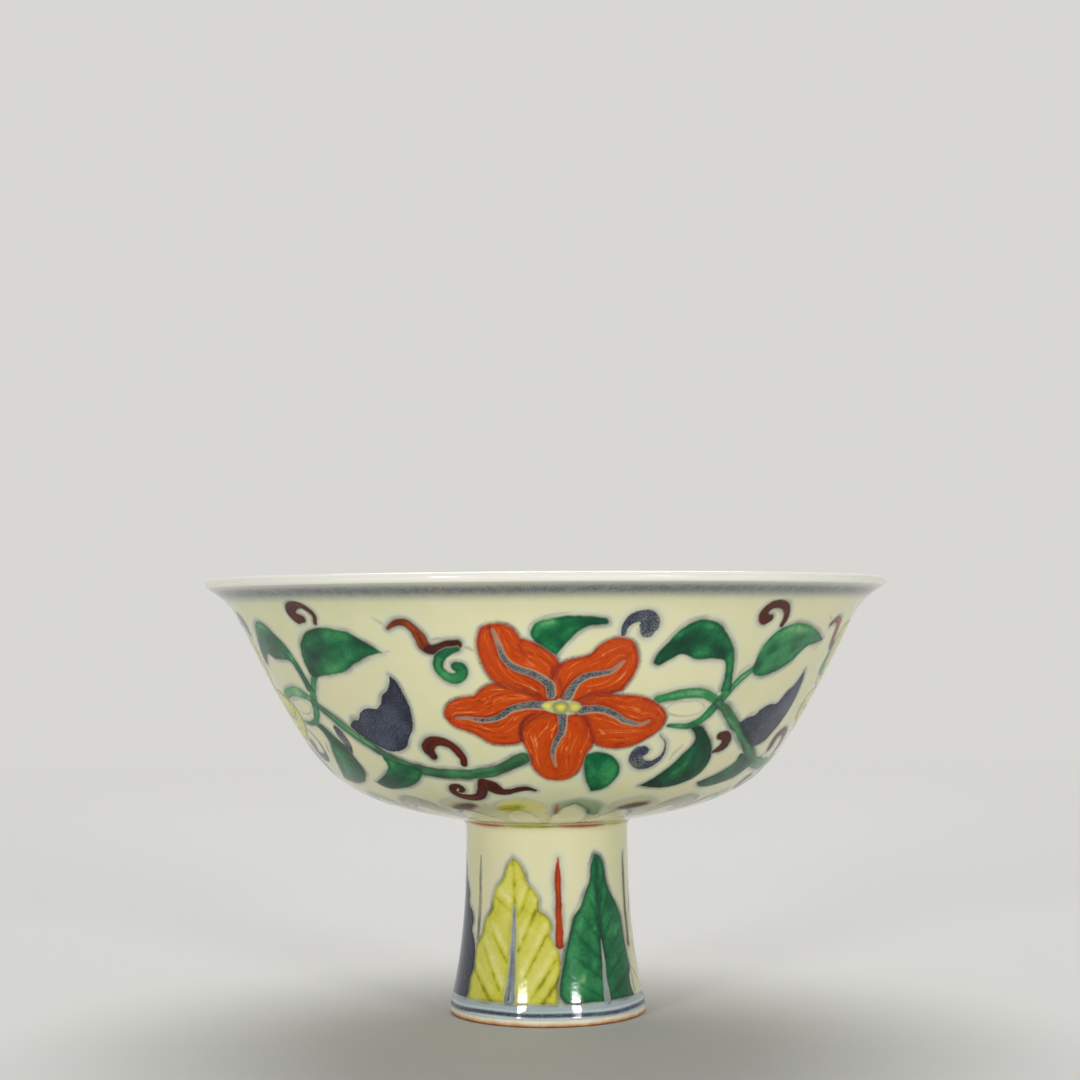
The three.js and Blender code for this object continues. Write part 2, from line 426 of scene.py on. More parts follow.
# The side of each rib that the enamel leaves pale: 1 is left of the way from the heart to the petal's tip
PALE_SIDES = (1, -1, -1, -1, 1)
STAMENS = ((0.2, 53.2, 0.8, 0.75), (2.8, 52.7, 1.05, 0.35), (5.4, 52.8, 0.9, 0.5))
FLOWER_HEART = (
    (-0.8, 53.2), (0.4, 54.2), (3, 54.3), (6, 53.9), (6.8, 52.8), (5.5, 51.7), (2.8, 51.4), (0.3, 52.1))
# Folds and overlaps of the petals, and the pale lines that the brush left along them
FLOWER_DARKS = (
    ((-2, 52), (-4, 50.5), (-5, 48.5), (-5.2, 46), (-5, 44.5)),
    ((-9.7, 58.9), (-7, 57.2), (-4, 56.4), (-1, 55.6)),
    ((2.4, 63.2), (1.5, 61), (0.9, 59.3)),
    ((14.4, 57), (13.4, 56.8), (12.3, 56.6)),
    ((9.8, 44.3), (9, 46.5), (8.3, 48.5), (7, 50.8)),
    ((2, 36.8), (2.1, 35.4), (2.3, 34)),
    ((-17.5, 50.2), (-19, 50.1), (-20, 50)),
    ((-8.9, 70.5), (-9.2, 71.6), (-9.5, 72.6)),
    ((20.3, 48.8), (22, 50.2), (23, 51.5)),
    ((13.5, 63.8), (14.8, 65.3), (15.4, 67)),
    ((-4.2, 68.3), (-4.4, 66.5), (-3.6, 64.8)),
    ((8.6, 67.2), (7.8, 65.2), (6.6, 63.8)),
    ((-14.2, 55.6), (-12.5, 54.2), (-10.5, 53.6)),
    ((-6.5, 49.4), (-9, 48.6), (-12.5, 48.2)),
    ((16.3, 55.4), (14.5, 54), (12.5, 53.3)),
)
FLOWER_LIGHTS = (
    ((-1.8, 57.8), (-4.5, 59.5), (-6.2, 61.2), (-7.2, 63.4)),
    ((-1.2, 56.6), (-3.5, 58), (-6, 59.5), (-7.8, 62), (-8.3, 64.5)),
    ((-4, 56.9), (-7, 57.9), (-8.6, 59.6)),
    ((-9.9, 67.5), (-10.3, 69.3), (-10, 71)),
    ((-8.2, 69.3), (-7.7, 70.7), (-8, 71.8)),
    ((-3, 67), (-1.5, 65), (0, 63), (1, 61.5)),
    ((-4.6, 66), (-2.8, 63.6), (-0.7, 61.7)),
    ((-1.3, 66.9), (0.3, 65.2), (1.3, 63.4)),
    ((-7.1, 71.7), (-5.8, 70), (-5.2, 68.2)),
    ((-2, 55.4), (-6, 55.9), (-9.5, 55.1), (-12, 53.6)),
    ((-1.8, 54.7), (-6.5, 54.9), (-10, 53.7), (-13, 51.9), (-15.5, 51.6), (-18, 51.3)),
    ((-6, 56.9), (-10, 57.2), (-12.5, 56.1)),
    ((-14.3, 53.2), (-16.8, 52.6), (-18.8, 52.9)),
    ((-15.5, 54.3), (-17.5, 54), (-19, 53.2)),
    ((-5.6, 48.6), (-7, 47.6), (-8.4, 46.7)),
    ((-13.4, 48.6), (-11.6, 47.4), (-10, 46.9)),
    ((7.5, 57.8), (10.5, 58.6), (12.7, 61), (13.7, 63.2)),
    ((9, 57), (12, 58.2), (14, 60.5), (14.8, 63.4)),
    ((9, 64.4), (11, 66), (13.4, 67.3)),
    ((2, 58.4), (2.2, 60), (2.8, 61.6)),
    ((3.6, 61.8), (5.2, 63.2), (7.4, 64.4)),
    ((14.6, 67), (15.4, 65), (15.4, 62.6)),
    ((11.5, 54.1), (14, 53.1), (16.2, 52.6), (18.3, 53.4)),
    ((13, 55.1), (15, 54.2), (17.6, 54.5)),
    ((20, 54), (22.4, 52), (23.8, 50.2)),
    ((8.6, 50.3), (11, 49.9), (13.2, 49), (15.6, 47.9), (18, 47.5)),
    ((10, 47.3), (13, 46.9), (16, 47), (19, 46.8), (20.6, 46.9)),
    ((10.4, 45.9), (13.5, 46.4), (17, 46.3), (19.6, 46.5)),
    ((12, 44.6), (15, 44.7), (18.5, 45.1)),
    ((-4, 45), (-3.6, 46.9), (-2.2, 48.6)),
    ((-2.5, 44.5), (-1, 46.5), (0.2, 48.3), (0.6, 49.6)),
    ((1.6, 43.9), (1.1, 46), (1.7, 48), (2.3, 49.6)),
    ((-3.7, 42.5), (-2.2, 40), (-1.6, 37.6)),
    ((2.1, 41.6), (2.9, 43.6), (3.9, 45.6), (4.3, 48)),
    ((6.4, 46), (5.6, 43.5), (5, 41.3)),
    ((8.3, 48), (8.7, 45.6), (8, 43.4), (6.9, 40.5)),
    ((4.3, 39.5), (4.6, 37.5), (4.1, 35.8)),
)

LEAF_A = (
    (37.5, 55.6), (36.9, 60.8), (35.6, 65.6), (33, 69.7), (30, 72.6), (27, 73.3), (24.4, 72), (21.3, 67.9),
    (19.5, 64.6), (19.3, 63.1), (20.1, 62.5), (22, 63.6), (24.4, 65.1), (27.5, 63.9), (31.7, 63.9), (34, 63.2),
    (35.1, 59.6), (35.7, 55.6))
LEAF_B = (
    (42.1, 60.3), (41.6, 63), (42, 66.1), (44.3, 70.1), (48.7, 72.1), (54, 71.7), (58.7, 69.9), (62.2, 68.1),
    (60, 67.2), (56.4, 66.4), (52.7, 62.9), (48, 60.1), (44.5, 59.4))
LEAF_B_LEFT = (
    (39.3, 60.3), (38.8, 62.5), (39.5, 66.9), (42.6, 70.4), (48.8, 71.7), (54, 70.6), (58.1, 67.6), (60, 65.8),
    (57.1, 65.1), (53.7, 63.6), (49.5, 61), (43.7, 60.3))
LEAF_D = (
    (30, 47.4), (31.8, 47.6), (33.6, 47.6), (35, 46.6), (37.5, 43.9), (39.4, 41.2), (40.5, 38), (39.9, 34.4),
    (36.4, 31.5), (30.4, 30), (23.3, 31.2), (27.6, 34.8), (30.2, 38.2), (31.4, 40.4), (33, 42.6), (33.1, 44.5),
    (31.8, 46.3))
LEAF_F = (
    (-39.9, 39.4), (-39.5, 37.5), (-42.2, 34.7), (-48.8, 31.4), (-47.5, 29.9), (-41, 29.6), (-36.3, 30.8),
    (-32.5, 33), (-30, 36.1), (-34.5, 37.8))
LEAF_L = (
    (1.8, 65.2), (-1.4, 67.6), (-2.6, 69.8), (-2, 72.2), (0.5, 73.7), (5.1, 74.4), (8.6, 74), (10.3, 73.3),
    (10.4, 72.5), (9.2, 72.1), (7.4, 71.9), (5.4, 70.5), (3.6, 68))
LEAF_N = (
    (8.3, 40.8), (10.5, 41.6), (13.2, 41.1), (15.7, 39.3), (17, 36.5), (16.4, 33.2), (14, 30.4), (11.2, 29.6),
    (10, 31.8), (8.6, 36))
# Each green leaf: outline, numbers of its sharp points, tone, and the darker and lighter washes on it
GREEN_LEAVES = (
    (LEAF_A, (), -0.2, (
        (((20, 63.3), (22, 66.5), (26, 68.6), (30, 68), (33.2, 65)), 0.9, -0.3),
        (((35, 64.5), (36, 60), (36.2, 56)), 0.6, 0.4),
        (((22.6, 69.4), (26.5, 72.2), (30.4, 71.4)), 0.5, 0.6),
        (((27, 65.3), (30.5, 65), (32.5, 64.2)), 0.3, 0.2))),
    (LEAF_B, (7,), 0.22, (
        (((42.8, 62.5), (43.6, 65), (45, 66)), 0.9, -0.28),
        (((45, 65.6), (49, 67.7), (54, 69), (58, 69.2), (61, 68.2)), 0.6, -0.3),
        (((46, 61.5), (50, 63), (54.5, 66)), 0.7, 0.3),
        (((44.5, 68.9), (47, 70.3), (51, 71)), 0.4, 0.25))),
    (LEAF_D, (0, 10), -0.26, (
        (((25, 31), (29, 31), (33, 31.8), (36.5, 34)), 0.9, -0.3),
        (((32, 47), (35, 44), (38, 40), (38.5, 36)), 0.6, -0.2),
        (((34, 41), (33.4, 37), (31, 34.5)), 0.5, 0.35))),
    (LEAF_F, (3,), -0.22, (
        (((-47.5, 31), (-43, 31.2), (-38, 33), (-34, 36)), 0.7, -0.3),
        (((-42, 34.4), (-39.4, 36), (-37.8, 38)), 0.5, 0.35))),
    (LEAF_L, (0,), -0.02, (
        (((2.6, 67.5), (2.2, 70.2), (4, 72.4), (8, 73)), 0.5, -0.25),
        (((-1.9, 69.6), (-1.2, 71.6), (1, 73)), 0.6, 0.6))),
    (LEAF_N, (0, 7), 0.12, (
        (((10.2, 40), (11.4, 37.5), (12, 33.5), (11.6, 30.6)), 0.6, -0.3),
        (((13.2, 39.2), (15.4, 36.6), (14.8, 33)), 0.6, 0.3))),
)
BLUE_LEAF = (
    (-29.9, 60.4), (-28.8, 58.9), (-28.1, 56.1), (-27.5, 53), (-27.8, 49.5), (-28.3, 47.4), (-29.9, 45.1),
    (-31.3, 42.7), (-33.9, 41.4), (-36.4, 41.3), (-38.8, 42.3), (-41.2, 43.8), (-43.5, 45.4),
    (-45.4, 47.5), (-43.8, 48.9), (-41.8, 49.3), (-40.6, 50.9), (-38, 52.2), (-35.4, 52.2), (-34.2, 53.4),
    (-33.1, 55.4), (-31.3, 57))
VINE = with_widths(
    ((-54.3, 53.2), (-52, 51.3), (-48.6, 48.1), (-45.2, 45.2), (-42.3, 43), (-39.5, 40.9), (-36.8, 39),
     (-33.5, 37.2), (-29, 36), (-24, 35.3), (-18, 35.3), (-13, 36.1), (-8.5, 37.9), (-5, 40)),
    0.7, 0.88, 0.95, 1.1, 1.15, 1.15, 1.2)
# Cobalt that shows through the vine along its lower edge, and where the vine and the leaf under it run together
VINE_SHADOW = VINE * (1, 1, 0.45) - (0, 0.7, 0)
LEAF_F_JOINT = (
    (-40.4, 40), (-36.8, 39), (-33.5, 37.4), (-29.4, 36.3), (-28, 35.3), (-30, 34.8), (-34, 35.4), (-38.4, 37.2),
    (-40, 38.6))
# Where the leaf over the branches, the branches and the vine run together
JUNCTION = ((35.2, 55.6), (36.9, 56.6), (37.3, 54.6), (36, 52.6), (34.6, 51.4), (34.2, 52.6))
# The vine of the repeat on the right soon lies a little further round, and is thicker
VINE_RIGHT = VINE * (1, 1, 1.15)
VINE_RIGHT[:, 0] += 1.6 * np.clip(np.arange(len(VINE)) / 3, 0, 1)
VINE_LIGHT = ((-54, 53), (-50, 49.5), (-45, 45.2), (-41, 42.2))
LEAF_STEM = with_widths(((36.3, 53.6), (37.8, 56.4), (39.2, 58.6), (40.9, 60.4), (42.2, 61.6)), 0.7)
UPPER_BRANCH = with_widths(
    ((35.5, 53.5), (32.7, 55.1), (30, 55.8), (27.3, 55.7), (24.7, 55.2), (21.8, 54.5)), 0.8, 0.92, 1.0, 0.8)
LOWER_BRANCH = with_widths(
    ((36.6, 55.2), (35.6, 53), (34.6, 51), (33.4, 49.4), (32, 48.2), (30.4, 47.7), (27.9, 47.6), (25.5, 47.8)),
    0.85, 0.95, 0.95, 0.88, 0.75, 0.62, 0.52, 0.4)
TENDRIL_RING = ((28.5, 52), (4.3, 1.9))
CURL_C = (((45.2, 71.9), (45.4, 73.5), (44.7, 75.4), (43, 76.8), (41.2, 77), (39.8, 75.9), (39.4, 74.4),
           (40.3, 73.3), (41.4, 73.5)), (0.6, 0.7, 0.74, 0.8, 0.85, 0.95, 1.1, 1.05, 0.7), -0.05)
CURL_C_LEFT = (((47, 72.9), (47.3, 74.7), (46.4, 76.5), (44.7, 77.6), (43, 77.2), (41.8, 75.8), (42.3, 74.4),
                (44, 73.9)), (0.5, 0.55, 0.65, 0.8, 1.05, 1.35, 1.25, 0.8), -0.05)
BROWN_CURLS = (
    # J, left of the lower petal
    (((-25.5, 40.4), (-26.1, 42.2), (-25.2, 43.8), (-23.3, 44.5), (-21, 43.8), (-19.4, 42.1), (-18.6, 40.2),
      (-18.7, 38.2)), (0.9, 1.13, 1.06, 0.95, 0.87, 0.83, 0.76, 0.6), 0.05),
    # K, under the vine
    (((-22.3, 29.5), (-21.5, 30.3), (-22.2, 31.3), (-23.6, 31.1), (-24.3, 29.6), (-23.2, 28), (-20.2, 27),
      (-17.6, 27.8), (-16.3, 29.8), (-16, 32.8)), (0.45, 0.55, 0.65, 0.75, 0.85, 0.95, 1.0, 1.0, 0.95, 0.6), 0.0),
    (((-15.4, 33.3), (-13.8, 32), (-12.8, 30.4), (-11, 29.5), (-8.6, 29.9), (-6.5, 30.7), (-4.6, 30.8),
      (-2.9, 30.3)), (0.8, 1.25, 1.3, 0.95, 0.7, 0.66, 0.55, 0.35), -0.05),
    # H, the ribbon left of the upper petal, pale and then dark
    (((-27.5, 71.6), (-25.8, 72.8), (-24, 72.9), (-22.7, 71.5), (-21.9, 69.5), (-21.2, 67.4), (-20, 66.4)),
     (0.35, 0.65, 0.8, 0.9, 1.0, 1.05, 0.8), 0.62),
    (((-20.6, 66.4), (-18.6, 66.8), (-16.9, 67.5), (-15.2, 67.9)), (0.8, 0.95, 1.0, 0.8), -0.15),
)
SMALL_CURL = with_widths(((40.1, 44.7), (41.4, 44.7), (42.5, 43.8), (42.5, 42.4), (41.4, 41.2), (40.2, 40.6)),
                         0.8, 1.0, 1.15, 1.1, 0.8, 0.45)
SMALL_CURL_LEFT = with_widths(((38.9, 46.6), (39.5, 45.2), (40, 43.7), (40.2, 42.2), (40.2, 40.6)),
                              0.7, 1.2, 1.25, 1.1, 0.4)
GREEN_CURL = with_widths(
    ((-15.3, 66.8), (-17.4, 65.9), (-19.1, 64.3), (-19.4, 62.2), (-18.3, 60.4), (-16.3, 59.9), (-15.2, 61),
     (-15.4, 62.2), (-16.1, 62.7)), 0.45, 0.75, 0.95, 1.0, 1.0, 1.0, 1.1, 1.15, 0.85)
BLUE_CURLS = (
    with_widths(((13.1, 69.9), (13.3, 71.8), (14.2, 73.4), (15.6, 74.1), (16.8, 73.7), (17.3, 72.6), (17.4, 71.5),
                 (17.3, 70.8)), 0.42, 0.6, 0.85, 1.15, 1.6, 1.85, 1.75, 1.3),
    with_widths(((24.2, 45.4), (25.8, 43.8), (26.4, 41.6), (26, 39.6), (24.4, 38.1), (22.4, 37.7), (20.6, 38.6),
                 (19.9, 40.2), (20.5, 41.4), (21, 41.6)), 0.1, 0.16, 0.26, 0.42, 0.75, 1.05, 1.2, 1.3, 1.35, 1.2),
)
# Thin lines of the drawing that the enamels do not cover
DRAWING = (
    ((-2.9, 69.4), (-2.4, 72.2), (0, 74.2), (4, 75)),
    ((19, 64.6), (21.4, 69), (24.4, 73), (27.6, 74.3)),
    ((30.6, 42.6), (29, 40.6), (28.6, 38.9)),
    ((-14.8, 63.6), (-14.4, 61.5), (-15.2, 59.6)),
    ((-21.4, 70.4), (-20.2, 68.9), (-18.4, 69.1), (-16.6, 68.9)),
    ((-27.7, 72.3), (-28.8, 73.1), (-29.8, 73.9)),
    ((-30.4, 65.8), (-28.4, 66.2)),
    ((37.8, 57.5), (38.6, 60.4), (40.4, 62.4)),
    ((-45.4, 48), (-43.6, 49.9), (-41.4, 50.4)),
    ((-15, 67.5), (-13.4, 66.9), (-12, 66)),
)
FLOWER_COLOURS = ("red", "yellow", "red", "yellow")


def paint_flower(canvas, enamel):
    # The yellow flowers' upper left petals reach further left
    spread = 1.6 if enamel == "yellow" else 1
    everything = [
        (azimuth * (spread if azimuth < 0 and place > 57 else 1), place)
        for outline, _, rib in PETALS for azimuth, place in outline + rib]
    found = canvas.spot(np.column_stack([everything, np.zeros(len(everything))]), margin=2.5)
    if not found:
        return
    area, x, y, mm, seed = found
    used = 0
    rib_cover, rib_bare = np.zeros(x.shape), np.zeros(x.shape)
    grain = noise(x / 0.45, y / 0.45, seed + 13)
    index = 0
    for (outline, corners, rib), pale_side in zip(PETALS, PALE_SIDES):
        edge = mm[index:index + len(outline)]
        index += len(outline)
        rib_line = mm[index:index + len(rib)].copy()
        index += len(rib)
        rib_line[:, 2] = np.interp(np.linspace(0, 1, len(rib)), *RIB_WIDTHS)
        away, _, run, _, within = measure(x, y, spline(edge, True, corners))
        depth = np.where(within, away, -away)
        rib_line = spline(rib_line)
        rib_away, rib_width, rib_run, side, _ = measure(x, y, rib_line)
        across = rib_away / (rib_away + np.maximum(depth, 0) + 0.01)
        streak = noise(across * 7 + 9 * side, rib_run / 6 + used * 7, seed + 10)
        fine = noise(across * 17 + 9 * side, rib_run / 4 + used * 7, seed + 11)
        shade = 0.3 * (streak - 0.5) + 0.75 * step(0.72, 0.95, fine) - 0.4 * step(0.3, 0.05, fine)
        shade += 0.1 - 0.3 * bump(depth - 0.1, 0.7)
        shade -= 0.4 * bump(rib_away - rib_width - 0.25, 0.3) * (side != pale_side)
        speckle = (0.5 + 0.5 * noise(run / 3, run * 0, seed + 12)) * (0.75 + 0.5 * grain)
        canvas.tint(area, 0.8 * speckle * bump(depth + 0.12, 0.42))
        filled = step(-EDGE, EDGE, depth)
        canvas.lay(area, enamel, filled, shade)
        rib_faded = step(0.7, 1, rib_run / lengths(rib_line[:, :2])[-1])
        covered = rib_width * (1 - 0.16 * (side == pale_side)) - rib_away
        rib_cover = np.maximum(rib_cover, step(-EDGE, EDGE, covered) * (1 - 0.5 * rib_faded))
        rib_bare = np.maximum(rib_bare, step(-EDGE, EDGE, 0.9 * rib_width - rib_away) * (1 - 0.6 * rib_faded))
        used += 1
    for points in FLOWER_DARKS:
        canvas.shade(with_widths(points, 0.15), -0.4, soft=0.6)
    for points in FLOWER_LIGHTS:
        canvas.shade(with_widths(points, 0.03, 0.09, 0.08, 0.03), 0.85, soft=0.16)
    canvas.lay(area, None, rib_bare)
    canvas.tint(area, (0.8 + 0.18 * grain) * rib_cover)


def paint_stamens(canvas):
    canvas.clear(FLOWER_HEART)
    canvas.shape(FLOWER_HEART, "yellow", tone=0.95, outline=0, cover=0.45)
    for azimuth, place, radius, tone in STAMENS:
        dot = ((azimuth - 0.15, place, radius), (azimuth + 0.15, place, radius))
        canvas.stroke(dot, "yellow", tone=tone, outline=0.6, soft=0.4)


def paint_scroll(canvas):
    for unit in range(-2, 3):
        canvas.unit = unit % 4
        canvas.shift = 90 * unit
        flower = FLOWER_COLOURS[unit % 4]
        canvas.stroke(UPPER_BRANCH, "green", tone=0.62, contrast=0.35)
        ring_centre, ring_size = TENDRIL_RING
        turn = np.linspace(0, 2 * math.pi, 13)
        ring = np.array(ring_centre) + np.array(ring_size) * np.column_stack([np.cos(turn), np.sin(turn)])
        canvas.stroke(with_widths(ring, 0.16), cobalt=0.35, outline=0)
        vine = VINE_RIGHT if canvas.unit == 1 else VINE
        canvas.stroke(vine, "green", tone=-0.02, contrast=0.4, outline=0.5, cover=0.94)
        canvas.stroke(VINE_SHADOW, cobalt=0.5, outline=0, soft=0.6)
        canvas.stroke(LEAF_STEM, "green", tone=0.45)
        canvas.shade(with_widths(VINE_LIGHT, 0.3), 0.4, soft=0.4)
        left_side = canvas.unit == 3
        for points, corners, tone, washes in GREEN_LEAVES:
            if left_side and points is LEAF_B:
                points, corners, tone = LEAF_B_LEFT, (7,), -0.05
                washes = [([(a - 2.2, s - 1.2) for a, s in wash], width, change) for wash, width, change in washes]
            canvas.shape(points, "green", tone, corners)
            for wash, width, change in washes:
                canvas.shade(with_widths(wash, width), change, soft=0.9)
        canvas.stroke(LOWER_BRANCH, "green", tone=0.4, contrast=0.35, outline=0.25)
        canvas.clear(LEAF_F_JOINT)
        canvas.clear(JUNCTION)
        canvas.shape(BLUE_LEAF, None, corners=(0, 13), cobalt=1.2, outline=0.5, contrast=1.1)
        for points, widths, tone in BROWN_CURLS + (CURL_C_LEFT if left_side else CURL_C,):
            canvas.stroke(with_widths(points, *widths), "brown", tone=tone)
        canvas.stroke(GREEN_CURL, "green", tone=0.2)
        for line in DRAWING:
            canvas.stroke(with_widths(line, 0.12, 0.24, 0.08), cobalt=0.45, outline=0, soft=0.45)
        if left_side:
            canvas.stroke(SMALL_CURL_LEFT, cobalt=0.95, outline=0)
        else:
            canvas.stroke(SMALL_CURL, "brown", tone=-0.2)
        for curl in BLUE_CURLS:
            canvas.stroke(curl, cobalt=1.0, outline=0.3)
        paint_flower(canvas, flower)
        paint_stamens(canvas)


# Rings of cobalt, each with an arc length, a half width, a density and the softness of its edges

# The cobalt band under the lip; its width and darkness also take in a painted shadow that the lip casts below itself
RIM_RING_AND_LIP_SHADOW = ((81.5, 2, 0.76, 1.9),)


def paint_rings(canvas, rings):
    for place, half_width, density, soft in rings:
        turn = np.radians(canvas.azimuths)
        waver = 0.12 * np.sin(3 * turn + place) + 0.08 * np.sin(7 * turn)
        away = abs(canvas.places[:, None] - place - waver[None, :])
        canvas.layer["cobalt"] = np.maximum(canvas.layer["cobalt"], density * step(soft, -soft, away - half_width))
        canvas.layer["bleed"] = np.maximum(canvas.layer["bleed"], 0.4 * density * bump(away, half_width + 1))


# The ring of lappets under the bowl

LAPPETS = 21
LAPPET_FIRST = -7.9
LAPPET_COLOURS = ("yellow", "green", "brown", "blue", "green", "blue", "brown")
# Half widths, as shares of half the pitch, with the arc lengths they stand at, and the tips
LAPPET_SIDE = ((0.97, 3.5), (0.99, 15), (0.95, 21), (0.7, 24.5), (0.3, 26.2))
LAPPET_TIP = 27
FIELD_SIDE = ((0.84, 3.5), (0.76, 12), (0.64, 16), (0.5, 19.2), (0.3, 22.2))
FIELD_TIP = 24.3
# How strongly each lappet is washed over, and how far the tip of its pale field reaches
LAPPET_WASH = {"yellow": (0.5, 20.8), "green": (0.5, FIELD_TIP), "brown": (0.22, 20), "blue": (0.3, 21.5)}


def paint_lappets(canvas):
    pitch = 360 / LAPPETS

    def arch(sides, tip, turn=0.0):
        right = [(share * pitch / 2, place) for share, place in sides]
        left = [(-azimuth, place) for azimuth, place in reversed(right)]
        return [(azimuth + turn, place) for azimuth, place in right + [(0, tip)] + left]

    for number in range(LAPPETS):
        canvas.unit = number
        canvas.shift = LAPPET_FIRST + number * pitch
        colour = LAPPET_COLOURS[number % 7]
        wash, tip = LAPPET_WASH[colour]
        outer = arch(LAPPET_SIDE, LAPPET_TIP)
        field = arch([(share, place * tip / FIELD_TIP) for share, place in FIELD_SIDE], tip, -1.2)
        if colour == "blue":
            canvas.shape(outer, None, corners=(5,), outline=0.15, cobalt=wash, soft=0.9)
        else:
            canvas.shape(outer, colour, tone=0.1, corners=(5,), outline=0.15, cover=wash, soft=0.9)
        canvas.clear(field, (0, 5, 10))
        canvas.shape(field, None, corners=(0, 5, 10), outline=0.5)
        if colour == "yellow":
            canvas.stroke(((-5.2, 21, 1.2), (-2.6, 21.8, 1.9), (-0.6, 22.6, 1.4)), colour, -0.35, outline=0, soft=1.2)
        if colour == "brown":
            canvas.stroke(((-3, 21.2, 1.3), (0, 22.2, 2), (2.6, 23, 1.5)), colour, -0.1, outline=0, soft=1.2)
        if colour == "green":
            canvas.stroke(((-6.4, 18, 0.4), (-6.3, 21, 0.6), (-6, 23.6, 0.3)), "brown", 0.9, outline=0, soft=1.1)
    lower = bump(canvas.places - 1.6, 2.2)[:, None] + np.zeros_like(canvas.layer["yellow"])
    canvas.lay(np.ix_(range(len(canvas.places)), range(len(canvas.azimuths))), "yellow", 0.4 * lower, 0.5)


# The leaves that stand round the stem, each with the places of its right side and of its left one

LEAF_BASE = 5.2
YELLOW_RIGHT = (
    (-23.9, 37.9), (-19.6, 36.8), (-15.6, 34.6), (-13.8, 32.2), (-9.8, 30.9), (-6.3, 28.8), (-4.9, 26),
    (0, 25), (2.8, 22.8), (1.6, 20.4), (4.9, 18.8), (8.2, 15), (8.3, 12.2), (6.2, 9.4), (6.6, 7),
    (5, LEAF_BASE))
YELLOW_LEFT = (
    (-28.4, 36), (-31, 33.5), (-38, 30.3), (-39.8, 28.3), (-40, 26.5), (-46.7, 23.2), (-48.3, 20.2),
    (-53, 17.6), (-54.4, 14.5), (-53.8, 11.8), (-57.1, 10.3), (-57.5, 7), (-55.4, LEAF_BASE))
GREEN_RIGHT = (
    (34.8, 38.7), (40.2, 37.6), (42.9, 35.6), (44.6, 32.4), (48.9, 29.4), (54, 27), (58.4, 24), (61.4, 18.8),
    (63.5, 14), (64.7, 9), (64.7, LEAF_BASE))
GREEN_LEFT = (
    (31.4, 36), (29.9, 32.4), (26.1, 29.7), (22.2, 26.7), (17.4, 24.4), (14.9, 21.5), (12, 17.9), (9.4, 14),
    (7.3, 9), (7.8, 6.5), (10.9, LEAF_BASE))
YELLOW_VEINS = (
    ((-16, 10), (-1, 20.5)), ((-10, 6.5), (5, 15)), ((-3, 5.4), (7, 11)), ((-19, 17), (-8, 26)),
    ((-19, 25), (-13, 31)), ((-27, 14.5), (-39, 20.5)), ((-29, 7), (-45, 17)), ((-36, 5.4), (-54, 12.5)),
    ((-26, 26), (-38, 29)))
# Each of the six leaves: its turn from the one it is drawn after, its enamel, its tone, and cobalt in its place
YELLOW_LEAF_AT = -22.5
GREEN_LEAF_AT = 36.5
STEM_LEAVES = (
    ("yellow", YELLOW_LEAF_AT, 0.25, 0),
    ("green", GREEN_LEAF_AT, 0.1, 0),
    ("pale", 97, 0, 0),
    ("brown", 157, 0.1, 0),
    ("green", 217, 0.1, 0),
    ("blue", 275, 0, 1.15),
)
STEM_LINES = ((7.5, 18.4, 38, 0.85, "red", -0.15), (-52.9, 19, 37.7, 0.6, None, 0.65),
              (67.3, 17, 38, 0.65, "yellow", -0.9), (127, 18, 37.8, 0.8, "red", -0.1),
              (187, 17, 37.6, 0.6, None, 0.65), (247, 18, 37.8, 0.8, "red", -0.1))


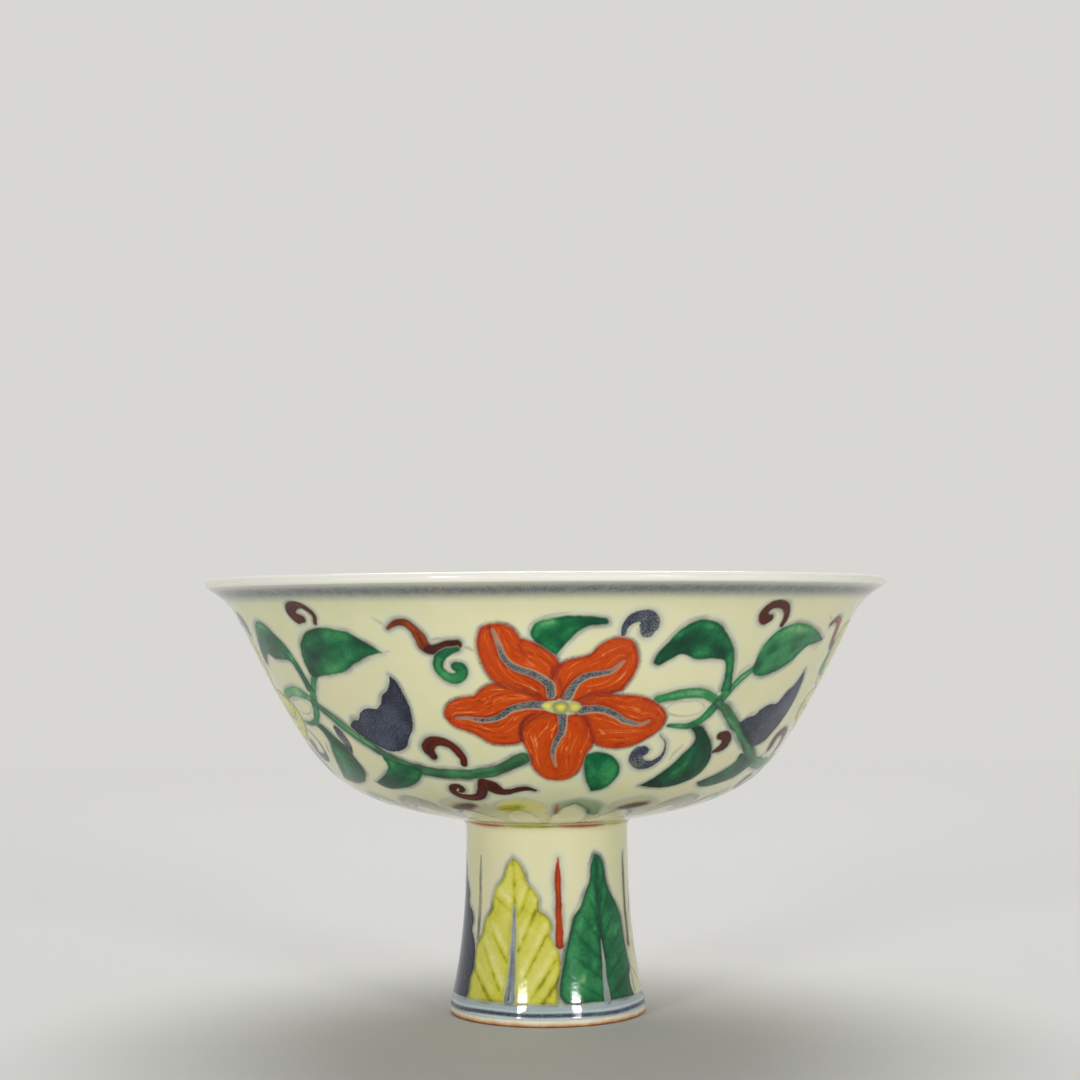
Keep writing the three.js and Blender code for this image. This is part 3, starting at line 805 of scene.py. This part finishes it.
def paint_stem_leaf(canvas, kind, place, tone, cobalt):
    yellow_like = kind in ("yellow", "pale", "blue")
    right, left = (YELLOW_RIGHT, YELLOW_LEFT) if yellow_like else (GREEN_RIGHT, GREEN_LEFT)
    drawn_at = YELLOW_LEAF_AT if yellow_like else GREEN_LEAF_AT
    canvas.shift = place - drawn_at
    outline = right + left[::-1]
    enamel = kind if kind in ENAMELS else None
    base_corners = (0, len(right) - 1, len(right))
    canvas.shape(outline, enamel, tone, corners=base_corners, outline=0.6, contrast=0.3, cobalt=cobalt)
    canvas.shade([(a, s, 0.2) for a, s in right] + [(a, s, 0.2) for a, s in left[::-1]], -0.5, soft=0.8)
    if yellow_like:
        rib = ((-23.2, LEAF_BASE + 0.8, 1.3), (-22.9, 10, 1.0), (-22.7, 16, 0.8), (-22.7, 22, 0.6), (-22.8, 27, 0.3))
        canvas.stroke(rib, bare=True, cobalt=0.62, outline=0.3)
        canvas.stroke(((-24, 6, 0.35), (-23.5, 11, 0.3), (-23, 18, 0.2)), cobalt=0.85, outline=0)
        canvas.shade(((-22.8, 25, 0.5), (-23, 31, 0.45), (-23.6, 36.5, 0.3)), -0.8, soft=0.7)
        for start, end in YELLOW_VEINS:
            vein = (start + (0.3,), tuple((a + b) / 2 for a, b in zip(start, end)) + (0.28,), end + (0.2,))
            if enamel:
                canvas.shade(vein, -0.8, soft=0.75)
                canvas.shade([(a, s + 2.4, 0.5) for a, s, _ in vein], 0.4, soft=0.8)
            else:
                canvas.stroke(vein, cobalt=0.4, outline=0)
    else:
        for wash, width, change in (
                (((31, 30), (21, 21), (18, 12), (20, 7)), 1.6, 0.3),
                (((44, 31), (54, 22), (58, 13), (58, 7)), 1.6, -0.3)):
            canvas.shade([point + (width,) for point in wash], change, soft=2)
        rib = ((38, LEAF_BASE + 0.5, 0.85), (37.8, 10, 0.55), (37.9, 14.7, 0.35), (37.6, 19, 0.15))
        canvas.stroke(rib, bare=True, cobalt=0.5, outline=0.7)
        canvas.shade(((37.8, 15, 0.5), (37.2, 24, 0.6), (36.6, 31, 0.6), (36, 37, 0.4)), -0.7, soft=0.9)
        for spot in ((22, 22.5), (30, 12.5), (47.5, 13), (22, 10.5), (52, 20), (31, 20)):
            canvas.shade(((*spot, 0.5), (spot[0] + 1.5, spot[1] + 1.5, 0.5)), 0.45, soft=1.1)
        for number in range(6):
            height = 6 + 4.4 * number
            reach = 24 - 3.9 * number
            for way in (-1, 1):
                vein = ((37.5 + 2 * way, height, 0.2), (37.5 + way * reach / 2, height + 2.3, 0.25),
                        (37.5 + way * reach, height + 5.2, 0.2))
                canvas.shade(vein, -0.45, soft=0.7)


def paint_stem(canvas):
    for kind, place, tone, cobalt in STEM_LEAVES:
        canvas.unit = 0
        paint_stem_leaf(canvas, kind, place, tone, cobalt)
    canvas.shift = 0
    for azimuth, low, high, half_width, enamel, strength in STEM_LINES:
        line = ((azimuth + 0.3, low, half_width), (azimuth, (low + high) / 2, 0.9 * half_width),
                (azimuth - 0.2, high - 2, 0.6 * half_width), (azimuth, high, 0.2))
        if enamel:
            canvas.stroke(line, enamel, tone=strength, outline=0.3)
        else:
            canvas.stroke(line, cobalt=strength, outline=0)


# A yellow and red line in the hollow where the stem meets the bowl, in lengths that change colour
NECK_LINES = 10
NECK_FIRST = -28
NECK_PLACE = bowl_start - 1.3


def paint_neck(canvas):
    for number in range(NECK_LINES):
        canvas.shift = NECK_FIRST + number * 360 / NECK_LINES
        line = ((0, NECK_PLACE, 0.3), (17, NECK_PLACE - 0.1, 0.6), (34, NECK_PLACE, 0.3))
        canvas.stroke(line, ("yellow", "red")[number % 2], tone=-0.15, outline=0, soft=0.7)


STEM_RINGS = ((2.75, 0.5, 0.95, 0.3), (4.3, 0.6, 0.33, 0.35), (5.05, 0.15, 0.5, 0.2))

# Enamel stands proud of the glaze by this much

RELIEF = {"red": 0.03, "green": 0.045, "yellow": 0.04, "brown": 0.05}

# Pieces of the glaze outside: closed sheets with a fine face and a coarse back, side by side round the axis


def at_places(places, values):
    return np.column_stack([np.interp(places, outside_places, column) for column in values.T])


def lathed(azimuths, places, proud):
    radius, height = at_places(places, outside).T
    out = at_places(places, outside_normals)
    turn = np.radians(azimuths)[None, :]
    reach = radius[:, None] + proud * out[:, :1]
    rise = height[:, None] + proud * out[:, 1:] + 0 * turn
    return np.stack([reach * np.sin(turn), -reach * np.cos(turn), rise], axis=-1)


BACK_SHARE = 8
ROLL = 0.5
ROLL_DEPTH = 0.25
UV_NAME = "OFBake"


def tile(name, first, last, cells, low, high, origin, paint):
    across, up = cells
    pad_a = (last - first) / across
    pad_p = (high - low) / up
    azimuths = first + pad_a * np.arange(-1, across + 2)
    places = low + pad_p * np.arange(-1, up + 2)
    canvas = Canvas(azimuths, places, origin)
    paint(canvas)
    relief = sum(RELIEF[enamel] * canvas.layer[enamel] for enamel in ENAMELS)
    rolled = 1 - np.clip((places - GLAZE_STOP) / ROLL, 0, 1)
    relief = relief - (ROLL_DEPTH * (1 - np.sqrt(1 - rolled ** 2)))[:, None]
    face = lathed(azimuths, places, relief)
    east = np.gradient(face, axis=1)
    north = np.gradient(face, axis=0)
    normals = np.cross(east, north)
    normals /= np.linalg.norm(normals, axis=2)[..., None]
    face, normals = face[1:-1, 1:-1], normals[1:-1, 1:-1]
    inner_azimuths, inner_places = azimuths[1:-1:BACK_SHARE], places[1:-1:BACK_SHARE]
    back = lathed(inner_azimuths, inner_places, -GLAZE_THICKNESS)
    rows, columns = face.shape[:2]
    back_rows, back_columns = back.shape[:2]
    number = np.arange(rows * columns).reshape(rows, columns)
    back_number = rows * columns + np.arange(back_rows * back_columns).reshape(back_rows, back_columns)
    quads = np.stack([number[:-1, :-1], number[:-1, 1:], number[1:, 1:], number[1:, :-1]], -1).reshape(-1, 4)
    behind = np.stack([back_number[:-1, :-1], back_number[1:, :-1], back_number[1:, 1:], back_number[:-1, 1:]],
                      -1).reshape(-1, 4)
    # Each wall runs along one edge: faces from the fine edge's vertices to two of the coarse one's
    edges = (
        (number[0, :], back_number[0, :], True),
        (number[-1, :], back_number[-1, :], False),
        (number[:, 0], back_number[:, 0], False),
        (number[:, -1], back_number[:, -1], True))
    walls = []
    wall_uv = []
    for row, (fine, coarse, flipped) in enumerate(edges):
        base = 0.957 + 0.011 * row
        for part in range(len(coarse) - 1):
            corners = list(fine[part * BACK_SHARE:(part + 1) * BACK_SHARE + 1])
            ring = corners + [coarse[part + 1], coarse[part]]
            span = len(coarse) - 1
            us = [(part + k / BACK_SHARE) / span for k in range(BACK_SHARE + 1)] + [(part + 1) / span, part / span]
            vs = [0] * (BACK_SHARE + 1) + [1, 1]
            uv = [(0.01 + 0.9 * u, base + 0.007 * v) for u, v in zip(us, vs)]
            if flipped:
                ring, uv = ring[::-1], uv[::-1]
            walls.append(ring)
            wall_uv.extend(uv)
    vertices = np.vstack([face.reshape(-1, 3), back.reshape(-1, 3)]) * MM
    mesh = bpy.data.meshes.new(name)
    mesh.vertices.add(len(vertices))
    mesh.vertices.foreach_set("co", vertices.ravel())
    loops = np.concatenate([quads.ravel(), behind.ravel(), np.array([v for ring in walls for v in ring])])
    sizes = np.concatenate([np.full(len(quads) + len(behind), 4), [len(ring) for ring in walls]])
    mesh.loops.add(len(loops))
    mesh.loops.foreach_set("vertex_index", loops.astype(np.int32))
    mesh.polygons.add(len(sizes))
    mesh.polygons.foreach_set("loop_start", np.concatenate([[0], np.cumsum(sizes)[:-1]]).astype(np.int32))
    mesh.update(calc_edges=True)
    mesh.polygons.foreach_set("use_smooth", np.ones(len(sizes), bool))
    u, v = np.meshgrid(np.linspace(0.01, 0.94, columns), np.linspace(0.01, 0.94, rows))
    front_uv = np.stack([u, v], -1).reshape(-1, 2)
    u, v = np.meshgrid(np.linspace(0.955, 0.99, back_columns), np.linspace(0.01, 0.94, back_rows))
    back_uv = np.stack([u, v], -1).reshape(-1, 2)
    vertex_uv = np.vstack([front_uv, back_uv])
    uv = np.vstack([vertex_uv[quads.ravel()], vertex_uv[behind.ravel()], np.array(wall_uv)])
    layer = mesh.uv_layers.new(name=UV_NAME)
    layer.data.foreach_set("uv", uv.astype(np.float32).ravel())
    back_normals = -lathed_normals(inner_azimuths, inner_places)
    mesh.normals_split_custom_set_from_vertices(np.vstack([normals.reshape(-1, 3), back_normals.reshape(-1, 3)]))
    inner = {key: value[1:-1, 1:-1].ravel() for key, value in canvas.layer.items()}
    blank = np.zeros(back_rows * back_columns)

    def store(attribute, *channels):
        data = np.column_stack([np.concatenate([channel, blank]) for channel in channels]).astype(np.float32)
        mesh.attributes.new(attribute, "FLOAT_COLOR", "POINT").data.foreach_set("color", data.ravel())

    store("enamel", *(inner[enamel] for enamel in ENAMELS))
    store("drawing", inner["cobalt"], inner["tone"] * 0.5 + 0.5, inner["bleed"], inner["bleed"] * 0 + 1)
    piece = bpy.data.objects.new(name, mesh)
    bpy.context.scene.collection.objects.link(piece)
    return piece


def lathed_normals(azimuths, places):
    radial, upward = at_places(places, outside_normals).T[..., None]
    turn = np.radians(azimuths)[None, :]
    return np.stack([radial * np.sin(turn), -radial * np.cos(turn), upward + 0 * turn], axis=-1)


# A closed ring or cap turned round the axis from a section, which may start and end on the axis


def turned(name, section, columns=360):
    section = np.array(section, float)
    turn = np.radians(np.arange(columns) * 360 / columns)
    on_axis = section[:, 0] < 1e-6
    vertices, starts = [], []
    for (radius, height), pole in zip(section, on_axis):
        starts.append(len(vertices))
        if pole:
            vertices.append((0, 0, height))
        else:
            vertices.extend((radius * math.sin(a), -radius * math.cos(a), height) for a in turn)
    faces = []
    count = len(section)
    closed = not on_axis.any()
    for i in range(count if closed else count - 1):
        j = (i + 1) % count
        for k in range(columns):
            n = (k + 1) % columns
            low = (starts[i], starts[i]) if on_axis[i] else (starts[i] + k, starts[i] + n)
            high = (starts[j], starts[j]) if on_axis[j] else (starts[j] + k, starts[j] + n)
            if on_axis[i]:
                faces.append((low[0], high[1], high[0]))
            elif on_axis[j]:
                faces.append((low[0], low[1], high[0]))
            else:
                faces.append((low[0], low[1], high[1], high[0]))
    mesh = bpy.data.meshes.new(name)
    mesh.from_pydata([tuple(c * MM for c in vertex) for vertex in vertices], [], faces)
    mesh.polygons.foreach_set("use_smooth", np.ones(len(faces), bool))
    mesh.update()
    piece = bpy.data.objects.new(name, mesh)
    bpy.context.scene.collection.objects.link(piece)
    return piece


# Materials


def colour(red, green, blue):
    def linear(value):
        share = value / 255
        return share / 12.92 if share <= 0.04045 else ((share + 0.055) / 1.055) ** 2.4
    return (linear(red), linear(green), linear(blue), 1)


class Nodes:
    def __init__(self, name, owner=None):
        self.material = owner or bpy.data.materials.new(name)
        self.material.use_nodes = True
        self.tree = self.material.node_tree
        self.tree.nodes.clear()
        self.place = self.add("ShaderNodeTexCoord").outputs["Object"]

    def add(self, kind, **settings):
        node = self.tree.nodes.new(kind)
        for key, value in settings.items():
            setattr(node, key, value)
        return node

    def give(self, socket, value):
        if isinstance(value, bpy.types.NodeSocket):
            self.tree.links.new(value, socket)
        elif value is not None:
            socket.default_value = value

    def math(self, operation, a, b=None, clamp=False):
        node = self.add("ShaderNodeMath", operation=operation, use_clamp=clamp)
        self.give(node.inputs[0], a)
        self.give(node.inputs[1], b)
        return node.outputs[0]

    def mix(self, share, a, b, blend="MIX"):
        node = self.add("ShaderNodeMix", data_type="RGBA", blend_type=blend)
        self.give(node.inputs["Factor"], share)
        self.give(node.inputs[6], a)
        self.give(node.inputs[7], b)
        return node.outputs[2]

    def blend(self, share, a, b):
        node = self.add("ShaderNodeMix", data_type="FLOAT")
        self.give(node.inputs["Factor"], share)
        self.give(node.inputs[2], a)
        self.give(node.inputs[3], b)
        return node.outputs[0]

    def noise(self, size, detail=2.0, roughness=0.5, stretch=None):
        """Noise whose features are about this many millimetres across."""
        node = self.add("ShaderNodeTexNoise")
        place = self.place
        if stretch:
            scaled = self.add("ShaderNodeVectorMath", operation="MULTIPLY")
            self.give(scaled.inputs[0], self.place)
            self.give(scaled.inputs[1], stretch)
            place = scaled.outputs[0]
        self.give(node.inputs["Vector"], place)
        node.inputs["Scale"].default_value = 1 / (size * MM)
        node.inputs["Detail"].default_value = detail
        node.inputs["Roughness"].default_value = roughness
        return node.outputs["Fac"]

    def ramp(self, value, *stops):
        node = self.add("ShaderNodeValToRGB")
        elements = node.color_ramp.elements
        while len(elements) < len(stops):
            elements.new(0.5)
        for element, (position, shade) in zip(elements, stops):
            element.position = position
            element.color = shade if not isinstance(shade, (int, float)) else (shade, shade, shade, 1)
        self.give(node.inputs[0], value)
        return node.outputs[0]

    def between(self, value, low, high, to_low=0.0, to_high=1.0):
        node = self.add("ShaderNodeMapRange", interpolation_type="SMOOTHSTEP")
        for socket, number in zip(node.inputs, (value, low, high, to_low, to_high)):
            self.give(socket, number)
        return node.outputs[0]

    def channels(self, attribute):
        node = self.add("ShaderNodeAttribute", attribute_name=attribute)
        split = self.add("ShaderNodeSeparateColor")
        self.give(split.inputs[0], node.outputs["Color"])
        return (*split.outputs, node.outputs["Alpha"])

    def shader(self, base, rough, height=None, height_mm=0.02, **constants):
        shader = self.add("ShaderNodeBsdfPrincipled")
        self.give(shader.inputs["Base Color"], base)
        self.give(shader.inputs["Roughness"], rough)
        for key, value in constants.items():
            shader.inputs[key.replace("_", " ")].default_value = value
        if height is not None:
            relief = self.add("ShaderNodeBump")
            relief.inputs["Strength"].default_value = 1
            relief.inputs["Distance"].default_value = height_mm * MM
            self.give(relief.inputs["Height"], height)
            self.give(shader.inputs["Normal"], relief.outputs[0])
        output = self.add("ShaderNodeOutputMaterial")
        self.give(output.inputs["Surface"], shader.outputs[0])
        return self.material


GLAZE_SPECULAR = 0.3
GLAZE_CREAM = colour(228, 223, 179)
GLAZE_GREEN = colour(217, 218, 172)
GLAZE_PALE = colour(233, 228, 191)
# Between these heights, in metres, the glaze whitens towards the rim: it is thin there, and a painted highlight from
# the light above adds to it
RIM_THIN_AND_LIT_HEIGHTS = (0.0975, 0.1005)
GLAZE_RIM_THIN_AND_LIT = colour(242, 240, 228)
GLAZE_SPECK = colour(168, 158, 112)


def glaze_colour(nodes, cream=GLAZE_CREAM, green=GLAZE_GREEN, pale=GLAZE_PALE):
    broad = nodes.between(nodes.noise(38, 3), 0.35, 0.65)
    fine = nodes.between(nodes.noise(6, 3), 0.3, 0.7)
    base = nodes.mix(broad, cream, green)
    base = nodes.mix(nodes.math("MULTIPLY", fine, 0.25), base, pale)
    split = nodes.add("ShaderNodeSeparateXYZ")
    nodes.give(split.inputs[0], nodes.place)
    # The whiter rim: thin glaze together with a painted highlight from above
    base = nodes.mix(nodes.between(split.outputs[2], *RIM_THIN_AND_LIT_HEIGHTS), base, GLAZE_RIM_THIN_AND_LIT)
    speck = nodes.between(nodes.noise(0.9, 1), 0.78, 0.86)
    return nodes.mix(nodes.math("MULTIPLY", speck, 0.35), base, GLAZE_SPECK)


def glaze_height(nodes):
    swell = nodes.math("MULTIPLY", nodes.noise(4.5, 1), 0.8)
    peel = nodes.math("MULTIPLY", nodes.noise(1.1, 1), 0.2)
    return nodes.math("ADD", swell, peel)


def plain_glaze(name):
    nodes = Nodes(name)
    rough = nodes.between(nodes.noise(9, 3), 0.3, 0.7, 0.035, 0.07)
    # The inside gets a paler, less yellow cream than the outside: painted lighter to offset the yellow that light
    # takes on bouncing round inside the bowl
    base = glaze_colour(nodes, colour(234, 232, 216), colour(230, 232, 214), colour(238, 236, 224))
    return nodes.shader(base, rough, glaze_height(nodes), 0.018, Specular_IOR_Level=GLAZE_SPECULAR)


RAMPS = {
    "red": ((0, colour(88, 18, 0)), (0.3, colour(156, 42, 0)), (0.5, colour(194, 64, 0)),
            (0.75, colour(208, 84, 8)), (1, colour(226, 132, 76))),
    "green": ((0, colour(0, 44, 30)), (0.3, colour(2, 76, 46)), (0.5, colour(10, 106, 60)),
              (0.75, colour(58, 146, 86)), (1, colour(138, 184, 124))),
    "yellow": ((0, colour(92, 94, 10)), (0.3, colour(150, 148, 24)), (0.5, colour(204, 199, 56)),
               (0.75, colour(220, 216, 104)), (1, colour(232, 230, 156))),
    "brown": ((0, colour(28, 8, 2)), (0.3, colour(52, 12, 2)), (0.5, colour(78, 20, 2)),
              (0.75, colour(124, 40, 2)), (1, colour(172, 78, 20))),
}


def painted_glaze(name):
    nodes = Nodes(name)
    enamel = dict(zip(ENAMELS, nodes.channels("enamel")))
    cobalt, tone, bleed, _ = nodes.channels("drawing")
    grain = nodes.between(nodes.noise(0.27, 1, 0.5), 0.34, 0.66)
    coarse = nodes.between(nodes.noise(1.7, 2), 0.3, 0.7)
    strength = nodes.math("MULTIPLY", cobalt, nodes.blend(grain, 0.92, 1.08))
    strength = nodes.math("MULTIPLY", strength, nodes.blend(coarse, 0.94, 1.06), clamp=True)
    washed = nodes.math("MULTIPLY", nodes.math("SUBTRACT", 0.5, tone), 1.1)
    deep = nodes.math("MULTIPLY", nodes.math("MULTIPLY", cobalt, grain), 0.85)
    deep = nodes.math("ADD", deep, washed, clamp=True)
    blue = nodes.mix(deep, colour(74, 82, 101), colour(34, 38, 52))
    base = nodes.mix(bleed, glaze_colour(nodes), colour(196, 214, 220))
    base = nodes.mix(strength, base, blue)
    mottle = nodes.math("SUBTRACT", nodes.noise(0.8, 3), 0.5)
    shade = nodes.math("ADD", tone, nodes.math("MULTIPLY", mottle, 0.3), clamp=True)
    under = nodes.math("MULTIPLY", strength, 0.6)
    total = None
    for key in ENAMELS:
        paint = nodes.ramp(shade, *RAMPS[key])
        paint = nodes.mix(under, paint, colour(30, 36, 44))
        base = nodes.mix(enamel[key], base, paint)
        total = enamel[key] if total is None else nodes.math("ADD", total, enamel[key], clamp=True)
    glossy = nodes.between(nodes.noise(9, 3), 0.3, 0.7, 0.035, 0.07)
    satin = nodes.between(nodes.noise(1.5, 3), 0.3, 0.7, 0.07, 0.13)
    rough = nodes.blend(total, glossy, satin)
    height = nodes.math("ADD", glaze_height(nodes), nodes.math("MULTIPLY", nodes.math("MULTIPLY", mottle, total), 0.5))
    return nodes.shader(base, rough, height, 0.018, Specular_IOR_Level=GLAZE_SPECULAR)


def biscuit(name):
    nodes = Nodes(name)
    split = nodes.add("ShaderNodeSeparateXYZ")
    nodes.give(split.inputs[0], nodes.place)
    height = split.outputs[2]
    warm = nodes.mix(nodes.between(nodes.noise(3, 4), 0.3, 0.7), colour(242, 232, 208), colour(234, 218, 186))
    waver = nodes.math("ADD", height, nodes.math("MULTIPLY", nodes.noise(4, 3), 0.0008))
    base = nodes.mix(nodes.between(waver, 0.0016, 0.0008), warm, colour(204, 150, 92))
    base = nodes.mix(nodes.between(waver, 0.001, 0.0005), base, colour(142, 90, 48))
    speck = nodes.between(nodes.noise(0.45, 2), 0.68, 0.78)
    base = nodes.mix(nodes.math("MULTIPLY", speck, 0.6), base, colour(92, 62, 40))
    rough = nodes.between(nodes.noise(0.8, 3), 0.3, 0.7, 0.6, 0.85)
    return nodes.shader(base, rough, nodes.noise(0.4, 4), 0.03)


painted = painted_glaze("painted_glaze")
inner_glaze = plain_glaze("glaze_inside")
bore_glaze = plain_glaze("glaze_in_stem")
body_clay = biscuit("biscuit")
slip_clay = biscuit("slip")

# Pieces

BOWL_TILES = 8
BOWL_CELLS = (240, 368)
STEM_TILES = 6
STEM_CELLS = (144, 288)


def dress(piece, material, slot, *replaced):
    piece.data.materials.append(material)
    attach(piece, "root")
    if replaced:
        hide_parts(*replaced)
    return piece


def paint_bowl(canvas):
    paint_lappets(canvas)
    paint_scroll(canvas)
    paint_rings(canvas, RIM_RING_AND_LIP_SHADOW)


def paint_stem_side(canvas):
    foot = step(LEAF_BASE + 0.2, LEAF_BASE - 0.6, canvas.places)
    canvas.layer["bleed"] += 0.9 * foot[:, None]
    paint_stem(canvas)
    paint_neck(canvas)
    paint_rings(canvas, STEM_RINGS)


for number in range(BOWL_TILES):
    first = -180 + number * 360 / BOWL_TILES
    piece = tile("bowl_glaze_%d" % (number + 1), first, first + 360 / BOWL_TILES, BOWL_CELLS,
                 bowl_start, bowl_start + bowl_length, bowl_start, paint_bowl)
    dress(piece, painted, "glaze", "glaze_coat")

for number in range(STEM_TILES):
    first = -173 + number * 360 / STEM_TILES
    piece = tile("stem_glaze_%d" % (number + 1), first, first + 360 / STEM_TILES, STEM_CELLS,
                 GLAZE_STOP, bowl_start, 0, paint_stem_side)
    dress(piece, painted, "glaze", "glaze_coat")


def sampled(path, count):
    run = lengths(path)
    at = np.linspace(0, run[-1], count)
    return np.column_stack([np.interp(at, run, path[:, 0]), np.interp(at, run, path[:, 1])])


def under_surface(path, depth):
    return path - outward(path) * depth


inside_face = np.vstack([sampled(lip, 25), sampled(inside[len(lip):], 110)])
inside_face[-1, 0] = 0
inside_back = under_surface(inside_face, GLAZE_THICKNESS)
inside_back[-1] = (0, inside_face[-1, 1] - GLAZE_THICKNESS)
section = np.vstack([inside_back[::-1], inside_face])
dress(turned("bowl_glaze_inside", section), inner_glaze, "glaze", "glaze_coat")

# The stem's body: outside under the glaze, flat top at the joint, bore, and a foot ring with rounded edges
outer = sampled(upright(FOOT_BEVEL, JOINT_HEIGHT, GLAZE_THICKNESS), 80)
bore = sampled(upright(FOOT_BEVEL, JOINT_HEIGHT, STEM_WALL), 80)[::-1]
foot_inner, foot_outer = bore[-1, 0], outer[0, 0]
inner_bevel = arc((foot_inner + FOOT_BEVEL, FOOT_BEVEL), FOOT_BEVEL, math.pi, 1.5 * math.pi, 7)
outer_bevel = arc((foot_outer - FOOT_BEVEL, FOOT_BEVEL), FOOT_BEVEL, 1.5 * math.pi, 2 * math.pi, 7)
section = np.vstack([outer, bore, inner_bevel[1:], outer_bevel[:-1]])
dress(turned("stem_foot_and_wall", section), body_clay, "porcelain", "stem_body")

bore_outer = sampled(upright(BORE_GLAZE_STOP, JOINT_HEIGHT, STEM_WALL), 60)
bore_inner = sampled(upright(BORE_GLAZE_STOP, JOINT_HEIGHT - BORE_GLAZE_THICKNESS, STEM_WALL + BORE_GLAZE_THICKNESS),
                     60)[::-1]
top = JOINT_HEIGHT
section = np.vstack([[(0, top - BORE_GLAZE_THICKNESS)], bore_inner, bore_outer, [(0, top)]])
dress(turned("stem_hollow_glaze", section), bore_glaze, "bore_glaze", "stem_bore_glaze")

for node, material in (("bowl_body", body_clay), ("luting_slip", slip_clay)):
    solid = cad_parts[node]
    solid.data.materials.clear()
    solid.data.materials.append(material)

# Floor: flat under the bowl and curving up far behind it

FLOOR_COLOUR = colour(216, 215, 212)
FLOOR_NEAR = 0.2
FLOOR_FAR = 1.1


def background_rays(nodes):
    """1 for the rays that show the plain background: from the camera, and in reflections and glass."""
    paths = nodes.add("ShaderNodeLightPath")
    seen = nodes.math("MAXIMUM", paths.outputs["Is Camera Ray"], paths.outputs["Is Glossy Ray"])
    return nodes.math("MAXIMUM", seen, paths.outputs["Is Transmission Ray"])


def floor_piece():
    profile = [(y, 0.0) for y in (-3.0, 0.0, 1.5)]
    profile += [(1.5 + 1.2 * math.sin(a), 1.2 - 1.2 * math.cos(a)) for a in np.linspace(0, math.pi / 2, 24)[1:]]
    profile.append((2.7, 4.0))
    vertices = [(x, y, z) for y, z in profile for x in (-4.0, 4.0)]
    faces = [(2 * i, 2 * i + 1, 2 * i + 3, 2 * i + 2) for i in range(len(profile) - 1)]
    mesh = bpy.data.meshes.new("floor")
    mesh.from_pydata(vertices, [], faces)
    mesh.polygons.foreach_set("use_smooth", np.ones(len(faces), bool))
    floor = bpy.data.objects.new("floor", mesh)
    bpy.context.scene.collection.objects.link(floor)
    nodes = Nodes("floor")
    away = nodes.add("ShaderNodeVectorMath", operation="LENGTH")
    nodes.give(away.inputs[0], nodes.place)
    far = nodes.between(away.outputs["Value"], FLOOR_NEAR, FLOOR_FAR)
    shader = nodes.add("ShaderNodeBsdfPrincipled")
    shader.inputs["Base Color"].default_value = FLOOR_COLOUR
    shader.inputs["Roughness"].default_value = 0.7
    plain = nodes.add("ShaderNodeEmission")
    plain.inputs["Color"].default_value = FLOOR_COLOUR
    chosen = nodes.add("ShaderNodeMixShader")
    nodes.give(chosen.inputs[0], nodes.math("MULTIPLY", far, background_rays(nodes)))
    nodes.give(chosen.inputs[1], shader.outputs[0])
    nodes.give(chosen.inputs[2], plain.outputs[0])
    output = nodes.add("ShaderNodeOutputMaterial")
    nodes.give(output.inputs["Surface"], chosen.outputs[0])
    mesh.materials.append(nodes.material)
    return floor


floor_piece()

# Lights: a broad soft light overhead and two upright soft boxes either side of the camera


def softbox(name, azimuth, elevation, distance, width, height, power, target=(0, 0, 0.05)):
    data = bpy.data.lights.new(name, "AREA")
    data.shape = "RECTANGLE"
    data.size, data.size_y = width, height
    data.energy = power
    light = bpy.data.objects.new(name, data)
    bpy.context.scene.collection.objects.link(light)
    a, e = math.radians(azimuth), math.radians(elevation)
    back = Vector((math.sin(a) * math.cos(e), -math.cos(a) * math.cos(e), math.sin(e)))
    light.location = Vector(target) + back * distance
    light.rotation_mode = "QUATERNION"
    light.rotation_quaternion = back.to_track_quat("Z", "Y")
    return light


softbox("overhead", 180, 64, 1.5, 1.1, 1.1, 17)
softbox("left_box", -31, 11, 1.3, 0.22, 0.055, 5)
softbox("right_box", 34.5, 11, 1.3, 0.22, 0.055, 5)

world = bpy.data.worlds.new("studio")
bpy.context.scene.world = world
nodes = Nodes("studio", world)
fill = nodes.add("ShaderNodeBackground")
fill.inputs["Color"].default_value = colour(240, 242, 246)
fill.inputs["Strength"].default_value = 0.28
backdrop = nodes.add("ShaderNodeBackground")
backdrop.inputs["Color"].default_value = FLOOR_COLOUR
backdrop.inputs["Strength"].default_value = 1.0
chosen = nodes.add("ShaderNodeMixShader")
nodes.give(chosen.inputs[0], background_rays(nodes))
nodes.give(chosen.inputs[1], fill.outputs[0])
nodes.give(chosen.inputs[2], backdrop.outputs[0])
output = nodes.add("ShaderNodeOutputWorld")
nodes.give(output.inputs["Surface"], chosen.outputs[0])
